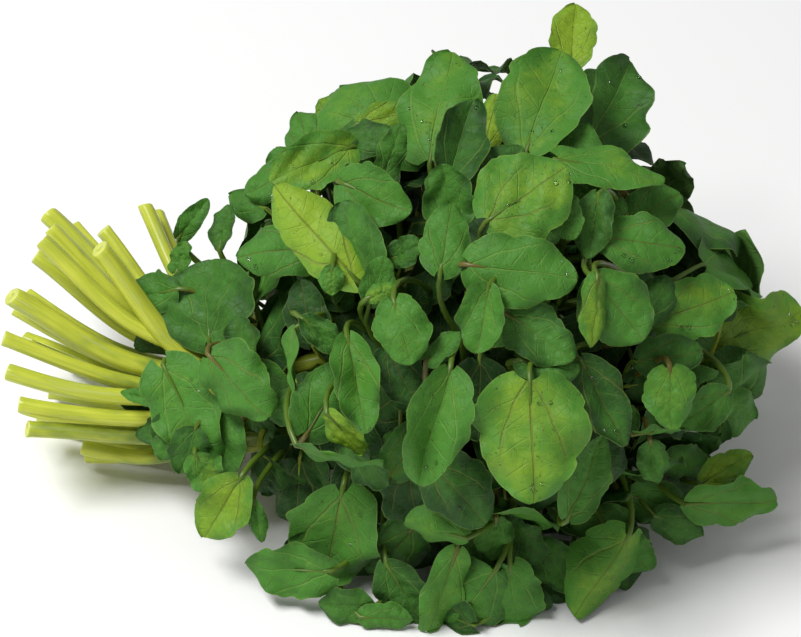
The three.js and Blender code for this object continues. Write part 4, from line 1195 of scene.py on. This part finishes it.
class WATERCRESS_OT_stems(Operator):
    """Builds every sprig's stem and leaf stalks."""
    bl_idname = "watercress.stems"
    bl_label = "Stems and stalks"

    def execute(self, context):
        form, colours = context.scene.watercress_form, context.scene.watercress_colours
        materials = [stem_finish(colours), cut_finish(colours)]
        draws = Draws(4001)
        for stem in plan().stems:
            skin = Skin()
            stem_skin(skin, stem, form.stem_rings, form.stem_sides, draws)
            for group, rings, sides, scale in ((plan().large + plan().medium, 14, 8, 1.0),
                                               (plan().small, 8, 6, 0.75)):
                for leaf in group:
                    if leaf.stem == stem.index:
                        stalk_skin(skin, leaf, rings, sides, draws, scale)
            name = sprig_name(stem.index)
            keep(skin.make(name + "_stem", materials, 55), [name], "stem")
        return {"FINISHED"}


class WATERCRESS_OT_leaves(Operator):
    """Builds every sprig's leaf blades."""
    bl_idname = "watercress.leaves"
    bl_label = "Leaf blades"

    def execute(self, context):
        form, colours = context.scene.watercress_form, context.scene.watercress_colours
        material = leaf_finish(colours)
        draws = Draws(7103)
        for stem in plan().stems:
            skin = Skin()
            rows, columns = form.blade_rows, form.blade_columns
            for group, share in ((plan().large, 1.0), (plan().medium, 0.75), (plan().small, 0.5)):
                for leaf in group:
                    if leaf.stem == stem.index:
                        steps = int(rows * share), int(columns * share) // 2 * 2 + 1
                        blade_skin(skin, leaf, *steps, form.relief * share, draws)
            if skin.count == 0:
                continue
            name = sprig_name(stem.index)
            keep(skin.make(name + "_blades", [material], 50), [name], "leaf_upper")
        return {"FINISHED"}


class WATERCRESS_OT_water(Operator):
    """Puts small drops of rinsing water on some of the shown leaves."""
    bl_idname = "watercress.water"
    bl_label = "Water drops"

    def execute(self, context):
        draws = Draws(5501)
        skin = Skin()
        wet = sorted(plan().large, key=lambda leaf: -leaf.normal @ SHOW * leaf.length)[:WET_LEAVES]
        for leaf in wet:
            top, normals = leaf.surface
            for _ in range(DROPS_EACH):
                row = int(draws.between(0.25, 0.92) * len(top))
                column = int(draws.between(0.14, 0.86) * len(top[0]))
                normal = normals[row, column]
                drop_skin(skin, top[row, column] + 0.1 * normal, normal, draws.between(0.3, 0.75))
        piece = skin.make("water_drops", [water_finish()], 60)
        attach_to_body(piece, "root")
        return {"FINISHED"}


class WATERCRESS_OT_band(Operator):
    """Builds the elastic band round the neck."""
    bl_idname = "watercress.band"
    bl_label = "Tie band"

    def execute(self, context):
        turns, reach = plan().band_outline()
        fine = np.linspace(0, 2 * math.pi, 121)[:-1]
        smooth = np.interp(fine, np.append(turns, 2 * math.pi), np.append(reach, reach[0]))
        smooth = (np.roll(smooth, 1) + smooth + np.roll(smooth, -1)) / 3
        corner = 0.35
        half, thick = BAND["width"] / 2, BAND["thick"]
        section = [(-half, corner), (-half + corner, 0.0), (half - corner, 0.0), (half, corner)]
        section += [(x, thick - out) for x, out in reversed(section)]
        skin = Skin()
        rings, faces = [], []
        for turn, reach_here in zip(fine, smooth):
            for x, out in section:
                radius = reach_here + out
                rings.append(NECK + vec(x, radius * math.cos(turn), radius * math.sin(turn)))
        sides, total = len(section), len(rings)
        for start in range(0, total, sides):
            for side in range(sides):
                a, b = start + side, start + (side + 1) % sides
                faces.append([a, (a + sides) % total, (b + sides) % total, b][::-1])
        blank = np.zeros((total, 3))
        skin.add(np.array(rings), faces, [0] * len(faces), blank, blank)
        piece = skin.make("tie_band_rubber", [band_finish(context.scene.watercress_colours)], 40)
        keep(piece, ["tie_band"], "band")
        return {"FINISHED"}


class WATERCRESS_OT_stage(Operator):
    """Sets the pale floor, the soft lights and the camera."""
    bl_idname = "watercress.stage"
    bl_label = "Stage"

    def execute(self, context):
        stage, colours = context.scene.watercress_stage, context.scene.watercress_colours
        mesh = bpy.data.meshes.new("floor")
        size = 4.0
        corners = [(-size, -size, 0), (size, -size, 0), (size, size, 0), (-size, size, 0)]
        mesh.from_pydata(corners, [], [(0, 1, 2, 3)])
        mesh.materials.append(floor_finish(colours))
        floor = bpy.data.objects.new("floor", mesh)
        context.scene.collection.objects.link(floor)
        target = plan().in_frame(vec(0, 22.2, 28.2))
        self.light(context, "key", target, vec(-1.1, -0.55, 2.1), 1.3, stage.key_power)
        self.light(context, "fill", target, vec(1.0, -0.9, 0.7), 0.9, stage.fill_power)
        world = bpy.data.worlds.new("studio")
        world.use_nodes = True
        world.node_tree.nodes["Background"].inputs["Color"].default_value = (1.0, 1.0, 1.0, 1.0)
        world.node_tree.nodes["Background"].inputs["Strength"].default_value = stage.sky
        context.scene.world = world
        camera = bpy.data.objects.new("camera", bpy.data.cameras.new("camera"))
        context.scene.collection.objects.link(camera)
        camera.data.sensor_width = 36.0
        camera.data.lens = 36.0 * stage.distance / stage.view_width
        camera.data.clip_end = 20.0
        camera.location = target + SHOW * stage.distance
        camera.rotation_euler = (math.pi / 2 - ELEVATION, 0.0, 0.0)
        context.scene.camera = camera
        context.scene.view_settings.view_transform = "Standard"
        return {"FINISHED"}

    @staticmethod
    def light(context, name, target, offset, size, power):
        data = bpy.data.lights.new(name, "AREA")
        data.size = size
        data.energy = power
        lamp = bpy.data.objects.new(name, data)
        lamp.location = target + offset
        lamp.rotation_euler = look_along(-offset)
        context.scene.collection.objects.link(lamp)


def look_along(direction):
    """Euler angles that turn a lamp's -Z onto a direction."""
    x, y, z = unit(direction)
    return (math.acos(-z), 0.0, math.atan2(x, -y) if abs(x) + abs(y) > 1e-9 else 0.0)


class WATERCRESS_PT_panel(Panel):
    """Lists the pieces of the bunch and its stage."""
    bl_idname = "WATERCRESS_PT_panel"
    bl_label = "Watercress bunch"
    bl_space_type = "VIEW_3D"
    bl_region_type = "UI"
    bl_category = "Watercress"

    def draw(self, context):
        for operator in OPERATORS:
            self.layout.operator(operator.bl_idname)


OPERATORS = (WATERCRESS_OT_stems, WATERCRESS_OT_leaves, WATERCRESS_OT_water, WATERCRESS_OT_band,
             WATERCRESS_OT_stage)
GROUPS = (
    ("watercress_colours", WatercressColours),
    ("watercress_form", WatercressForm),
    ("watercress_stage", WatercressStage),
)


def register():
    for _, group in GROUPS:
        bpy.utils.register_class(group)
    for name, group in GROUPS:
        setattr(bpy.types.Scene, name, PointerProperty(type=group))
    for operator in (*OPERATORS, WATERCRESS_PT_panel):
        bpy.utils.register_class(operator)


def unregister():
    for operator in (*OPERATORS, WATERCRESS_PT_panel):
        bpy.utils.unregister_class(operator)
    for name, _ in GROUPS:
        delattr(bpy.types.Scene, name)
    for _, group in GROUPS:
        bpy.utils.unregister_class(group)


def main():
    register()
    bpy.ops.watercress.stems()
    bpy.ops.watercress.leaves()
    bpy.ops.watercress.water()
    bpy.ops.watercress.band()
    bpy.ops.watercress.stage()


if __name__ == "__main__":
    main()
